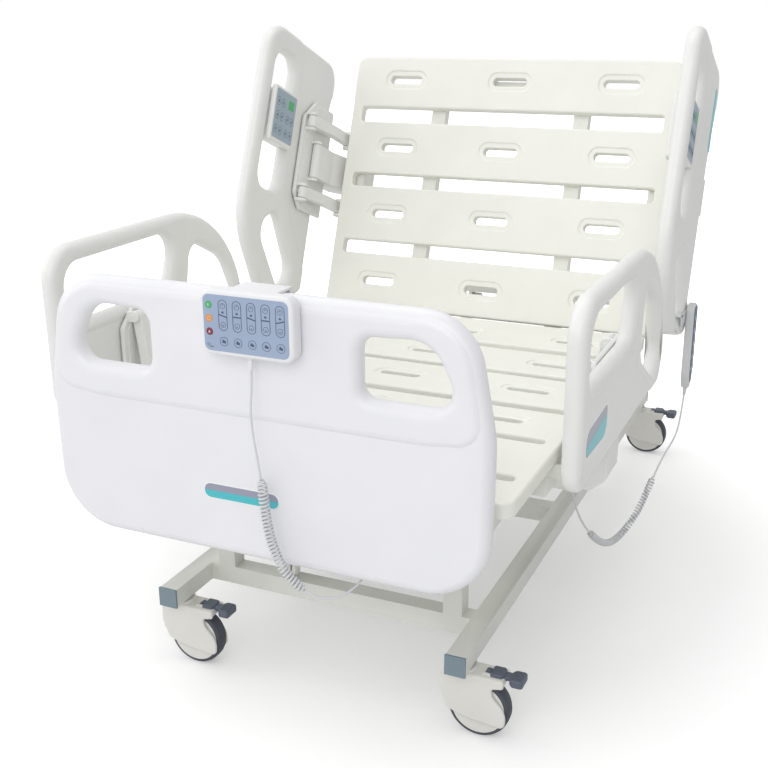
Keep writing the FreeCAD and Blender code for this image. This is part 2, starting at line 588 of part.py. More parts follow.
def section_frames():
    beam_zs = ("deck_top - panel_thick - beam_high", "deck_top - panel_thick")

    def beams(low, high):
        return [
            block(
                (f"{side} * beam_x - beam_wide / 2", f"{side} * beam_x + beam_wide / 2"),
                (low, high), beam_zs)
            for side in (-1, 1)]

    def hinge_tube(radius, y, z):
        return round_x(radius, y, z, "-hinge_half", "hinge_half")

    def sockets(y, z):
        return [
            round_x("hinge_pin + pivot_gap", y, z, *mirrored(side, "hinge_half - 23", "hinge_half"))
            for side in (-1, 1)]

    def cross(y, wide):
        return block(("-beam_x", "beam_x"), (f"({y}) - {wide} / 2", f"({y}) + {wide} / 2"), beam_zs)

    thigh = beams("seat_hinge_y - 14", "seat_hinge_y") + beams("thigh_foot + 6", "seat_hinge_y")
    thigh += [hinge_tube("hinge_tube", "seat_hinge_y", "deck_hinge_z"), cross("thigh_foot + 60", 30)]
    thigh.append(lever("crank_x", "seat_hinge_y", "deck_hinge_z", "crank", Dims.knee_half_turn))
    for side in (-1, 1):
        xs = mirrored(side, "beam_x + beam_wide / 2 + 1", "beam_x + beam_wide / 2 + 9")
        thigh += [
            block(xs, ("knee_hinge_y", "thigh_foot + 40"), ("deck_hinge_z - 12", "deck_hinge_z + 12")),
            block(
                mirrored(side, "beam_x", "beam_x + beam_wide / 2 + 9"),
                ("thigh_foot + 20", "thigh_foot + 40"), beam_zs),
            round_x("12", "knee_hinge_y", "deck_hinge_z", *xs),
            round_x(
                "hinge_pin", "knee_hinge_y", "deck_hinge_z",
                *mirrored(side, "beam_x + 2", "beam_x + beam_wide / 2 + 9")),
        ]
    node("thigh_frame", cut(fuse(thigh), sockets("seat_hinge_y", "deck_hinge_z")))

    leg = beams("leg_foot + 20", "knee_hinge_y") + [cross("leg_foot + 60", 30), cross("leg_head - 60", 30)]
    eyes = []
    for side in (-1, 1):
        xs = (f"{side} * beam_x - beam_wide / 2", f"{side} * beam_x + beam_wide / 2")
        leg.append(round_x("13", "knee_hinge_y", "deck_hinge_z", *xs))
        eyes.append(round_x(
            "hinge_pin + pivot_gap", "knee_hinge_y", "deck_hinge_z",
            *mirrored(side, "beam_x", "beam_x + beam_wide / 2")))
    node("leg_frame", cut(fuse(leg), eyes))

    back = beams("back_hinge_y", "back_start + back_long - 40")
    back += [hinge_tube("back_tube", "back_hinge_y", "back_hinge_z"), cross("back_start + 110", 24)]
    back += [cross("back_start + back_long - 70", 30)]
    for s in ("head_link - 50", "head_link + 50"):
        centre = f"(back_start + {s})"
        back.append(block(
            ("-carrier_out + 10", "carrier_out - 10"), (f"{centre} - 15", f"{centre} + 15"),
            ("deck_top - panel_thick - beam_high", "deck_top - panel_thick - 1")))
    for side in (-1, 1):
        back += carrier(
            side, "carrier_out - 34", "back_start + head_link", "deck_top - 100", "deck_top - 32", "deck_top")
    lean = Dims.crank_half_turn - Dims.back_angle
    back.append(lever("-crank_x", "back_hinge_y", "back_hinge_z", "crank", lean))
    node("back_frame", raised(cut(fuse(back), sockets("back_hinge_y", "back_hinge_z"))))


# Deck panels: moulded boards with long gaps and rows of oblong slots

def oblong(x, y, long, wide):
    end = wide / 2 - 0.01
    half = long / 2
    return rounded([
        (x - half, y - wide / 2, end), (x + half, y - wide / 2, end),
        (x + half, y + wide / 2, end), (x - half, y + wide / 2, end)])


def panel(name, low, high, rows, gaps, round_low, round_high):
    """A board from low to high along Y with slot rows and long gaps at the given places."""
    wide = Dims.panel_half
    loops = [rounded([
        (-wide, low, round_low), (wide, low, round_low),
        (wide, high, round_high), (-wide, high, round_high)])]
    recesses = []
    for row in rows:
        for column in (-1, 0, 1):
            loops.append(oblong(column * Dims.slot_pitch, row, Dims.slot_long, Dims.slot_wide))
            recesses.append(oblong(column * Dims.slot_pitch, row, Dims.recess_long, Dims.recess_wide))
    for centre, gap in gaps:
        loops.append(rounded([
            (-Dims.gap_half, centre - gap / 2, 6), (Dims.gap_half, centre - gap / 2, 6),
            (Dims.gap_half, centre + gap / 2, 6), (-Dims.gap_half, centre + gap / 2, 6)]))
    body = moulding(loops, "panel_thick", at=(0, 0, Dims.deck_top - Dims.panel_thick))
    doc.recompute()
    pocket(body, recesses, "recess_deep", Dims.panel_thick)
    return node(name, body)


def deck_panels():
    start = Dims.back_start
    gap = Dims.gap_wide
    back = panel(
        "back_panel", start, start + Dims.back_long, [start + s for s in (73, 261, 447, 637)],
        [(start + 165.5, gap), (start + 353.5, gap), (start + 538.5, gap + 5)], 8, Dims.panel_corner)
    raised(back)
    panel("seat_panel", Dims.seat_foot, Dims.seat_head, [Dims.seat_foot + Dims.seat_row], [], 8, 8)
    # On the thigh and leg panels rows and gaps take turns, row_pitch apart
    thigh = [Dims.thigh_head - Dims.thigh_row - step * Dims.row_pitch for step in range(3)]
    panel("thigh_panel", Dims.thigh_foot, Dims.thigh_head, thigh[::2], [(thigh[1], Dims.narrow_gap)], 8, 8)
    leg = [Dims.leg_head - Dims.leg_row - step * Dims.row_pitch for step in range(4)]
    panel(
        "leg_panel", Dims.leg_foot, Dims.leg_head, leg[::2],
        [(place_y, Dims.narrow_gap) for place_y in leg[1::2]], Dims.panel_corner, 8)


# Side rails. Outlines are drawn along the bed (first) and above the deck's surface (second).

HEAD_OUTLINE = [
    (-14, 250, 28), (140, 402, 200), (668, 388, 78), (668, -4, 58), (585, -4, 85), (430, 30, 150),
    (8, 30, 30)]
HEAD_WINDOW = [(250, 352, 40), (606, 342, 48), (606, 233, 38), (250, 240, 40)]
HEAD_GRIP = [(150, 318, 42), (9, 166, 38), (50, 88, 42), (206, 228, 38)]
FOOT_OUTLINE = [(-842, 340, 72), (-128, 340, 284), (-128, -3, 45), (-842, -3, 48)]
FOOT_WINDOW = [(-797, 300, 48), (-400, 303, 48), (-450, 177, 42), (-797, 177, 36)]
FOOT_GRIP = [(-350, 272, 36), (-378, 125, 60), (-190, 20, 38), (-139, 68, 36), (-205, 200, 110)]


def rail(end, side):
    """One rail: shell, inner plate with knuckles, pair of narrow arms and wide arm."""
    head = end == "head"
    word = f"{end}_{'right' if side > 0 else 'left'}"
    start = Dims.back_start if head else 0.0
    middle = "(back_start + head_link)" if head else "(foot_link)"
    finish = raised if head else (lambda obj: obj)
    outline = HEAD_OUTLINE if head else FOOT_OUTLINE
    holes = (HEAD_WINDOW, HEAD_GRIP) if head else (FOOT_WINDOW, FOOT_GRIP)
    inner_x = Dims.rail_in if side > 0 else -Dims.rail_in - Dims.rail_thick
    shell = moulding(
        [rounded(outline)] + [rounded(hole) for hole in holes], "rail_thick", "rail_soft",
        SIDE_VIEW, (inner_x, start, Dims.deck_top))
    node(f"rail_shell_{word}", finish(shell))

    # Inner plate with three pairs of knuckles
    plate = block(
        mirrored(side, "rail_in - plate_thick", "rail_in"), (f"{middle} - 140", f"{middle} + 160"),
        ("deck_top + 8", "deck_top + link_rail_n + 17"))
    pieces = [plate]
    for step, wide, drop in ((-1, "narrow_wide", 0), (0, "wide_wide", 1), (1, "narrow_wide", 0)):
        pivot = f"(deck_top + link_rail_n - {drop} * link_drop)"
        centre = f"({middle} + {step} * link_pitch)"
        for edge in (-1, 1):
            near = f"({centre} + {edge} * ({wide} / 2 + link_side + lug_thick / 2))"
            ys = (f"{near} - lug_thick / 2", f"{near} + lug_thick / 2")
            pieces.append(block(
                mirrored(side, "link_rail_x", "rail_in - plate_thick"), ys,
                (f"{pivot} - eye_radius", f"{pivot} + eye_radius")))
            pieces.append(round_y("eye_radius", f"{side} * link_rail_x", pivot, *ys))
        reach = f"({wide} / 2 + link_side + 1)"
        pieces.append(round_y(
            "link_pin", f"{side} * link_rail_x", pivot, f"{centre} - {reach}", f"{centre} + {reach}"))
    node(f"rail_plate_{word}", finish(fuse(pieces)))

    # Pair of narrow bow-shaped arms, drawn in the bed's cross section
    frame_end = (Dims.link_frame_x, Dims.deck_top + Dims.link_frame_n)
    rail_end = (Dims.link_rail_x, Dims.deck_top + Dims.link_rail_n)
    bore = Dims.link_pin + Dims.pivot_gap
    link = [bow(frame_end, rail_end, Dims.eye_radius, Dims.arm_bow), (*frame_end, bore), (*rail_end, bore)]
    pair = []
    for step in (-1, 1):
        place_y = (start + Dims.head_link if head else Dims.foot_link) + step * Dims.link_pitch
        pair.append(arm(link, side, "narrow_wide", place_y + Dims.narrow_wide / 2))
    node(f"rail_arms_{word}", finish(group(pair)))

    # Wide arm, whose wing bulges out below the rail
    low = Dims.deck_top + Dims.link_frame_n - Dims.link_drop
    high = Dims.deck_top + Dims.link_rail_n - Dims.link_drop
    eye = Dims.eye_radius
    frame_x = Dims.link_frame_x
    rail_x = Dims.link_rail_x
    wing = [
        (frame_x - eye, low - eye, eye - 0.5), (frame_x + 26, low - eye, 20), (Dims.wing_out, low + 16, 20),
        (Dims.wing_out, Dims.deck_top - 9, 9), (rail_x + eye - 0.5, Dims.deck_top - 9, 6),
        (rail_x + eye - 0.5, high + eye, eye - 1), (rail_x - eye, high + eye, eye - 0.5),
        (rail_x - eye, Dims.deck_top + 25, 30), (frame_x - eye, Dims.deck_top - 25, 30)]
    place_y = (start + Dims.head_link if head else Dims.foot_link) + Dims.wide_wide / 2
    shape = [wing, (frame_x, low, bore), (rail_x, high, bore)]
    node(f"rail_wide_arm_{word}", finish(arm(shape, side, "wide_wide", place_y)))

    if head:
        screen = fuse([
            block(
                mirrored(side, "rail_in - 14", "rail_in"), ("back_start + 362", "back_start + 513"),
                ("deck_top + 192", "deck_top + 355")),
            block(
                mirrored(side, "rail_in - 1", "rail_in + rail_thick - 6"),
                ("back_start + 368", "back_start + 507"), ("deck_top + 242", "deck_top + 338")),
        ])
        node(f"rail_screen_{word}", raised(screen))


def bow(first, last, radius, rise):
    """Corners of a bar with round ends about two centres, whose middle bows towards the deck."""
    start = V(*first, 0)
    end = V(*last, 0)
    along = end - start
    along.normalize()
    across = V(-along.y, along.x, 0)
    middle = (start + end) * 0.5 + across * rise
    points = (
        (start - along * radius + across * radius, radius - 0.15),
        (start - along * radius - across * radius, radius - 0.15),
        (middle - across * radius, 400),
        (end + along * radius - across * radius, radius - 0.15),
        (end + along * radius + across * radius, radius - 0.15),
        (middle + across * radius, 400))
    return [(point.x, point.y, corner) for point, corner in points]


def arm(shape, side, wide, head_face):
    corners, *bores = shape
    if side < 0:
        corners = mirror_outline(corners)
        bores = [(-x, z, radius) for x, z, radius in bores]
    loops = [rounded(corners)] + [circle(*bore) for bore in bores]
    return moulding(loops, wide, turn=FRONT_VIEW, at=(0, head_face, 0))


# Footboard with two handholes, its hooks, and the attendant's panel

def footboard():
    low = Dims.board_low
    top = Dims.board_top
    half = Dims.board_half
    waist = Dims.board_waist
    outline = [
        (half - 38, top, 105), (half, waist, 300), (half - 4, low, 118),
        (4 - half, low, 118), (-half, waist, 300), (38 - half, top, 105)]
    near = Dims.grip_near
    far = Dims.grip_far
    right = [
        (near, Dims.grip_high - 6, 26), (far - 53, Dims.grip_high, 60), (far, Dims.grip_low, 34),
        (near, Dims.grip_low, 26)]
    left = mirror_outline(right)
    board = moulding(
        [rounded(outline), rounded(right), rounded(left)], "board_thick", "board_soft",
        FRONT_VIEW, (0, Dims.board_front + Dims.board_thick, 0))
    doc.recompute()
    # The lower field of the front lies back behind a crease that dips in the middle
    edge = Dims.field_half
    crease = Dims.field_top
    field = rounded([
        (edge, crease, 24), (edge - 92, crease - 18, 200), (92 - edge, crease - 18, 200), (-edge, crease, 24),
        (-edge, Dims.field_low, 98), (edge, Dims.field_low, 98)])
    pocket(board, [field], "field_deep", Dims.board_thick)
    node("footboard", board)
    hooks = []
    for side in (-1, 1):
        xs = (f"{side} * hook_x - hook_wide / 2", f"{side} * hook_x + hook_wide / 2")
        back = "board_front + board_thick"
        hooks.append(fuse([
            block(xs, (back, f"{back} + 6"), ("frame_top + 5", "frame_top + 28")),
            block(xs, (back, f"{back} + 8 + hook_thick"), ("frame_top + 5", "frame_top + 16")),
            block(xs, (f"{back} + 8", f"{back} + 8 + hook_thick"), ("frame_low", "frame_top + 16")),
        ]))
    node("footboard_hooks", group(hooks))


def nurse_control():
    half = Dims.nurse_wide / 2
    middle = Dims.nurse_mid
    loop = rounded([
        (middle - half, Dims.nurse_low, 16), (middle + half, Dims.nurse_low, 16),
        (middle + half, Dims.nurse_top, 16), (middle - half, Dims.nurse_top, 16)])
    case = moulding([loop], "nurse_thick", "nurse_soft", FRONT_VIEW, (0, Dims.board_front - 0.3, 0))
    xs = ("nurse_mid - 45", "nurse_mid + 45")
    back = "board_front + board_thick"
    hook = fuse([
        block(xs, ("board_front - 5", f"{back} + 6"), ("board_top + 0.3", "nurse_top - 1")),
        block(xs, (f"{back} + 0.3", f"{back} + 6"), ("board_top - 26", "board_top + 1")),
    ])
    relief = doc.addObject("Part::Cone", "Relief")
    bind(relief, "Radius1", "3.5")
    bind(relief, "Radius2", "5.5")
    bind(relief, "Height", "22")
    place(relief, ALONG_Z, ("nurse_exit_x", "nurse_exit_y", "nurse_low - 22"))
    node("nurse_control", fuse([case, hook, relief]))


def handset():
    half = Dims.handset_wide / 2
    middle = Dims.handset_mid
    low = Dims.handset_low
    top = Dims.handset_top
    loop = rounded([
        (middle - 9, low, 6), (middle + 9, low, 6), (middle + half - 4, low + 38, 34),
        (middle + half, top, 16), (middle - half, top, 16), (middle - half + 4, low + 38, 34)])
    outer = Dims.rail_in + Dims.rail_thick + Dims.strap_thick
    case = moulding([loop], "handset_thick", "handset_soft", SIDE_VIEW, (outer, 0, 0))
    # The hook goes through the rail's grip hole and rests on its lower rim
    strap_ys = ("strap_foot", "strap_foot + strap_wide")
    outside = ("rail_in + rail_thick + 0.3", "rail_in + rail_thick + strap_thick")
    hook = fuse([
        block(outside, ("strap_foot", "handset_mid"), ("strap_z - 24", "strap_z + 6")),
        block(("rail_in - strap_thick", outside[1]), strap_ys, ("strap_z", "strap_z + 6")),
        block(("rail_in - strap_thick", "rail_in - 0.5"), strap_ys, ("strap_z - 18", "strap_z + 6")),
    ])
    # The strain relief leans back under the case, and its root lies 4 mm inside it
    relief = doc.addObject("Part::Cone", "Relief")
    bind(relief, "Radius1", "3.5")
    bind(relief, "Radius2", "5")
    bind(relief, "Height", "relief_long + 4")
    place(relief, FreeCAD.Rotation(V(1, 0, 0), -Dims.relief_tilt), (
        "handset_exit_x", "handset_mid - relief_long * sin(relief_tilt)",
        "handset_low - relief_long * cos(relief_tilt)"))
    node("handset", fuse([case, hook, relief]))


def control_box():
    node("control_box", block(
        ("40", "220"), ("seat_cross - tube / 2", "seat_cross + 140"), ("frame_low - 60", "frame_low")))


# Cords: straight runs joined by tangent arcs. Each route is a list of points in millimetres.

NURSE_LEAD = [
    (16, -982, 771), (16, -982, 742), (16, -992, 700), (20, -992, 655), (25, -990, 615), (30, -990, 580)]
NURSE_COIL = [
    (30, -990, 580), (34, -990, 552), (38, -992, 510), (45, -992, 470), (55, -990, 437), (68, -988, 410),
    (88, -986, 388), (108, -984, 376)]
NURSE_TAIL = [
    (108, -984, 376), (122, -982.6, 367.6), (144, -974, 362), (166, -957, 364), (182, -934, 375),
    (193, -910, 391), (200, -888, 412), (200, -875, 433), (200, -875, 453)]
HANDSET_LEAD = [
    (561, 159.294, 436.33), (561, 147.461, 410.953), (561, 128, 384), (561, 100, 362), (558, 54, 350),
    (553, 8, 343), (547, -44, 327), (541, -72, 306)]
HANDSET_COIL = [
    (541, -72, 306), (535.6, -97.2, 287.1), (526, -110, 254), (514, -116, 222), (500, -132, 196),
    (487, -168, 182), (478, -216, 188), (471, -268, 212), (464, -312, 242), (458, -340, 268)]
HANDSET_TAIL = [
    (458, -340, 268), (453.2, -362.4, 288.8), (444, -380, 318), (434, -389, 352), (424, -391, 386),
    (415, -390, 424), (415, -390, 453)]


def arc_share(before, here, after):
    """The place and radius of the arc that rounds a point of a route."""
    back = V(*before) - V(*here)
    on = V(*after) - V(*here)
    run = min(back.Length, on.Length)
    back.normalize()
    on.normalize()
    turn = math.pi - back.getAngle(on)
    return back, on, 0.45 * run, turn


def cord(name, points, diameter):
    """A tube along straight runs whose corners are arcs as large as the runs allow."""
    edges = []
    last = V(*points[0])
    length = 0.0
    radii = []
    for before, here, after in zip(points, points[1:], points[2:]):
        back, on, reach, turn = arc_share(before, here, after)
        corner = V(*here)
        first = corner + back * reach
        end = corner + on * reach
        radius = reach / math.tan(turn / 2)
        middle = back + on
        middle.normalize()
        crown = corner + middle * (radius / math.cos(turn / 2) - radius)
        edges.append(Part.LineSegment(last, first).toShape())
        edges.append(Part.Arc(first, crown, end).toShape())
        length += (first - last).Length + radius * turn
        radii.append(radius)
        last = end
    edges.append(Part.LineSegment(last, V(*points[-1])).toShape())
    length += (V(*points[-1]) - last).Length
    path = Part.Wire(edges)
    start_way = V(*points[1]) - V(*points[0])
    ring = Part.Wire([Part.Circle(V(*points[0]), start_way, diameter / 2).toShape()])
    tube = path.makePipeShell([ring], True, True)
    expected = math.pi * diameter ** 2 / 4 * length
    ratio = tube.Volume / expected
    print(f"{name}: length {length:.0f}, smallest radius {min(radii):.0f}, volume ratio {ratio:.4f}")
    return tube


def cord_node(name, runs):
    obj = doc.addObject("Part::Feature", "Cord")
    tubes = [cord(name, points, diameter) for points, diameter in runs]
    obj.Shape = tubes[0] if len(tubes) == 1 else Part.makeCompound(tubes)
    return node(name, obj)


def cords():
    thin = Dims.cord_thick
    cord_node("nurse_cord_leads", [(NURSE_LEAD, thin), (NURSE_TAIL, thin)])
    cord_node("nurse_cord_coil", [(NURSE_COIL, Dims.nurse_coil_thick)])
    cord_node("handset_cord_leads", [(HANDSET_LEAD, thin), (HANDSET_TAIL, thin)])
    cord_node("handset_cord_coil", [(HANDSET_COIL, Dims.handset_coil_thick)])


# Build, check and write

base_frame()
castors()
lift_arms("foot_lift_arms", "foot_cross", "-crank_x")
lift_arms("head_lift_arms", "head_cross", "crank_x")
actuators()
platform_frame()
section_frames()
deck_panels()
for rail_end in ("head", "foot"):
    for rail_side in (-1, 1):
        rail(rail_end, rail_side)
footboard()
nurse_control()
handset()
control_box()
cords()
doc.recompute()

for obj in doc.Objects:
    if {"Invalid", "Error"} & set(obj.State):
        raise RuntimeError(f"{obj.Name} ({obj.Label}) failed: {obj.State}")
for name, obj in NODES.items():
    if obj.Shape.isNull() or not obj.Shape.isValid():
        raise RuntimeError(f"{name} has no valid shape")
    if not obj.Shape.Solids:
        raise RuntimeError(f"{name} holds no solid")

os.makedirs("parts", exist_ok=True)
for name, obj in NODES.items():
    obj.Shape.exportStep(f"parts/{name}.step")
print(len(NODES), "nodes")
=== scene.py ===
import math
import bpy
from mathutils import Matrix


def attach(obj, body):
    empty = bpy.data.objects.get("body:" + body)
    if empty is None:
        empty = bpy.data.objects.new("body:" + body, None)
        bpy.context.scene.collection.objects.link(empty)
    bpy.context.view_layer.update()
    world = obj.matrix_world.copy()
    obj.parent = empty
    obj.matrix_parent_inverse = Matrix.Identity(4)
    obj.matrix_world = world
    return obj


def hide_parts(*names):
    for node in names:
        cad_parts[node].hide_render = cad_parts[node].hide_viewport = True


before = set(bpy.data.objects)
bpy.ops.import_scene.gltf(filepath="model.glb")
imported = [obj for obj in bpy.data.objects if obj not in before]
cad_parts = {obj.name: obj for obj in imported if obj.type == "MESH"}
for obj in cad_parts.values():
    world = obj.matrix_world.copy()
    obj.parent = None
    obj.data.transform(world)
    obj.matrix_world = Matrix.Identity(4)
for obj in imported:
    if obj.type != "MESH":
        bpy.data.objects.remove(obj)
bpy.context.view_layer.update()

from fnmatch import fnmatchcase

import bmesh
import bpy
from bpy.props import FloatProperty, FloatVectorProperty, PointerProperty
from mathutils import Matrix, Vector

bl_info = {
    "name": "Ward Bed",
    "version": (1, 0, 0),
    "blender": (4, 5, 0),
    "location": "View3D > Sidebar > Ward Bed",
    "description": "Dresses an electric ward bed: deck, rails, footboard, castors, controls and cords",
    "category": "Object",
}

# The bed's own places, in metres
DECK_TOP = 0.565
PANEL_DEEP = 0.030
PANEL_LOWER = 0.0265
PANEL_UPPER = 0.0105
BACK_HINGE = Vector((0.0, 0.2246, 0.530))
BACK_ANGLE = math.radians(69)
BACK_START = 0.2486
RAIL_INNER = 0.512
RAIL_THICK = 0.036
BOARD_FRONT = -0.965
BOARD_THICK = 0.045
STEM_X = 0.322
STEM_FOOT = -0.746
STEM_HEAD = 0.849
TRAIL = 0.034
WHEEL_RADIUS = 0.0625

CASTORS = (
    ("foot_left", -STEM_X, STEM_FOOT), ("foot_right", STEM_X, STEM_FOOT),
    ("head_left", -STEM_X, STEM_HEAD), ("head_right", STEM_X, STEM_HEAD),
)

# Outlines as corners (along, up, radius) in millimetres: rails from the side, the board from the front
HEAD_OUTLINE = [
    (-14, 250, 28), (140, 402, 200), (668, 388, 78), (668, -4, 58), (585, -4, 85), (430, 30, 150),
    (8, 30, 30)]
HEAD_WINDOW = [(250, 352, 40), (606, 342, 48), (606, 233, 38), (250, 240, 40)]
HEAD_GRIP = [(150, 318, 42), (9, 166, 38), (50, 88, 42), (206, 228, 38)]
FOOT_OUTLINE = [(-842, 340, 72), (-128, 340, 284), (-128, -3, 45), (-842, -3, 48)]
FOOT_WINDOW = [(-797, 300, 48), (-400, 303, 48), (-450, 177, 42), (-797, 177, 36)]
FOOT_GRIP = [(-350, 272, 36), (-378, 125, 60), (-190, 20, 38), (-139, 68, 36), (-205, 200, 110)]
BOARD_OUTLINE = [
    (398, 898, 105), (436, 690, 300), (432, 400, 118), (-432, 400, 118), (-436, 690, 300), (-398, 898, 105)]
# The thick tube round each rail's openings, and the board's thicker upper part above its crease
HEAD_TUBE = [
    (-14, 250, 28), (140, 402, 200), (668, 388, 78), (668, 196, 34), (262, 196, 60), (84, 30, 20),
    (8, 30, 30)]
FOOT_TUBE = [
    (-842, 340, 72), (-128, 340, 284), (-128, -3, 45), (-224, -3, 18), (-400, 96, 60), (-418, 142, 30),
    (-804, 142, 24), (-804, 6, 14), (-838, 34, 20)]
BOARD_UPPER = [
    (394, 893, 100), (431, 678, 50), (318, 666, 200), (-318, 666, 200), (-431, 678, 50), (-394, 893, 100)]
BOARD_GRIP = [(205, 842, 26), (330, 848, 60), (383, 735, 34), (205, 735, 26)]

# The rails' arms seen along the bed, from the deck's surface up, and the ribbed strain relief's profile
NARROW_ARM = [
    (460.3, -57.8, 11.8), (484.0, -57.0, 11.8), (484.6, 56.0, 400), (501.0, 165.6, 11.8),
    (477.5, 167.6, 11.8), (460.6, 57.0, 400)]
WIDE_ARM = [
    (461, -107, 11.5), (499, -107, 20), (532, -79, 20), (532, -9, 9), (499.5, -9, 6), (499.5, 117, 11),
    (476, 117, 11.5), (476, 25, 30), (461, -25, 30)]
RIBBED_RELIEF = [
    (0.0, -0.022), (0.0031, -0.022), (0.0031, -0.020), (0.0038, -0.0195), (0.0038, -0.0165),
    (0.0033, -0.016), (0.0033, -0.0145), (0.0042, -0.014), (0.0042, -0.011), (0.0037, -0.0105),
    (0.0037, -0.009), (0.0047, -0.0085), (0.0047, -0.0055), (0.0042, -0.005), (0.0042, -0.0035),
    (0.0055, -0.003), (0.0055, 0.0), (0.0, 0.001)]

# Middles of the rails' mounts along each section, and the arms' widths and spacing, in millimetres
RAIL_MIDDLES = (("head", 371), ("foot", -505))
NARROW = 30
WIDE = 92
ARM_STEP = 97
SIDES = (("left", -1), ("right", 1))

# A label's layers (name, thickness, finish) from the lowest up, and the softness of films and printed marks
LABEL_LAYERS = (("rim", 0.0012, "rim"), ("upper", 0.0018, "lilac"), ("lower", 0.0024, "teal"))
FILM_SOFT = 0.0003

# Ways from a flat drawing (x, y, thickness z) to its place on the bed
SIDE_VIEW = Matrix(((0, 0, 1, 0), (1, 0, 0, 0), (0, 1, 0, 0), (0, 0, 0, 1)))
FRONT_VIEW = Matrix(((1, 0, 0, 0), (0, 0, -1, 0), (0, 1, 0, 0), (0, 0, 0, 1)))
RAISED = (
    Matrix.Translation(BACK_HINGE) @ Matrix.Rotation(BACK_ANGLE, 4, "X") @ Matrix.Translation(-BACK_HINGE))


# What a user would change

def colour(name, description, default):
    """A colour that a user can change."""
    return FloatVectorProperty(
        name=name, description=description, subtype="COLOR", size=3, min=0, max=1, default=default)


class BedFinish(bpy.types.PropertyGroup):
    """Colours of the bed's main finishes"""
    rail_white: colour("Rail white", "Moulded rails and their arms", (0.80, 0.805, 0.785))
    board_white: colour("Board white", "Moulded footboard", (0.81, 0.81, 0.84))
    deck_white: colour("Deck white", "Moulded deck panels", (0.85, 0.85, 0.79))
    frame_paint: colour("Frame paint", "Powder coat on the tubes", (0.87, 0.875, 0.82))
    castor_cream: colour("Castor cream", "Moulded castor hoods", (0.77, 0.76, 0.72))
    tyre_slate: colour("Tyre slate", "Tyres", (0.070, 0.078, 0.098))
    pedal_slate: colour("Pedal slate", "Brake pedals", (0.105, 0.125, 0.165))
    label_teal: colour("Label teal", "Coloured strips on the rails and the board", (0.060, 0.50, 0.56))
    label_grey: colour("Label grey", "Grey-lilac fields of the labels", (0.30, 0.31, 0.40))


def length(name, description, low, high, default):
    """A length in metres that a user can change."""
    return FloatProperty(
        name=name, description=description, unit="LENGTH", min=low, max=high, default=default)


class BedSizes(bpy.types.PropertyGroup):
    """Softness of edges and depth of the rails' web"""
    rail_soft: length("Rail tube", "Rounding of the rails' thick tube", 0.002, 0.0175, 0.0165)
    board_soft: length("Board edge", "Rounding of the footboard's edges", 0.002, 0.0215, 0.0195)
    web_depth: length("Web depth", "How far the rails' web lies back behind the tube", 0.0005, 0.006, 0.0026)
    panel_soft: length("Panel edge", "Rounding of the deck panels' edges", 0.001, 0.01, 0.005)


# Materials

WORN_GREY = (0.3, 0.3, 0.3)


def map_range(nodes, start, end, low, high):
    """A Map Range node that takes values from start to end over into low to high."""
    node = nodes.new("ShaderNodeMapRange")
    for socket, value in zip(("From Min", "From Max", "To Min", "To Max"), (start, end, low, high)):
        node.inputs[socket].default_value = value
    return node


def camera_switch(nodes, links, others, seen, output):
    """Shows one shader to the camera and the other to every other ray."""
    path = nodes.new("ShaderNodeLightPath")
    mix = nodes.new("ShaderNodeMixShader")
    links.new(path.outputs["Is Camera Ray"], mix.inputs["Fac"])
    links.new(others.outputs[0], mix.inputs[1])
    links.new(seen.outputs[0], mix.inputs[2])
    links.new(mix.outputs[0], output.inputs["Surface"])


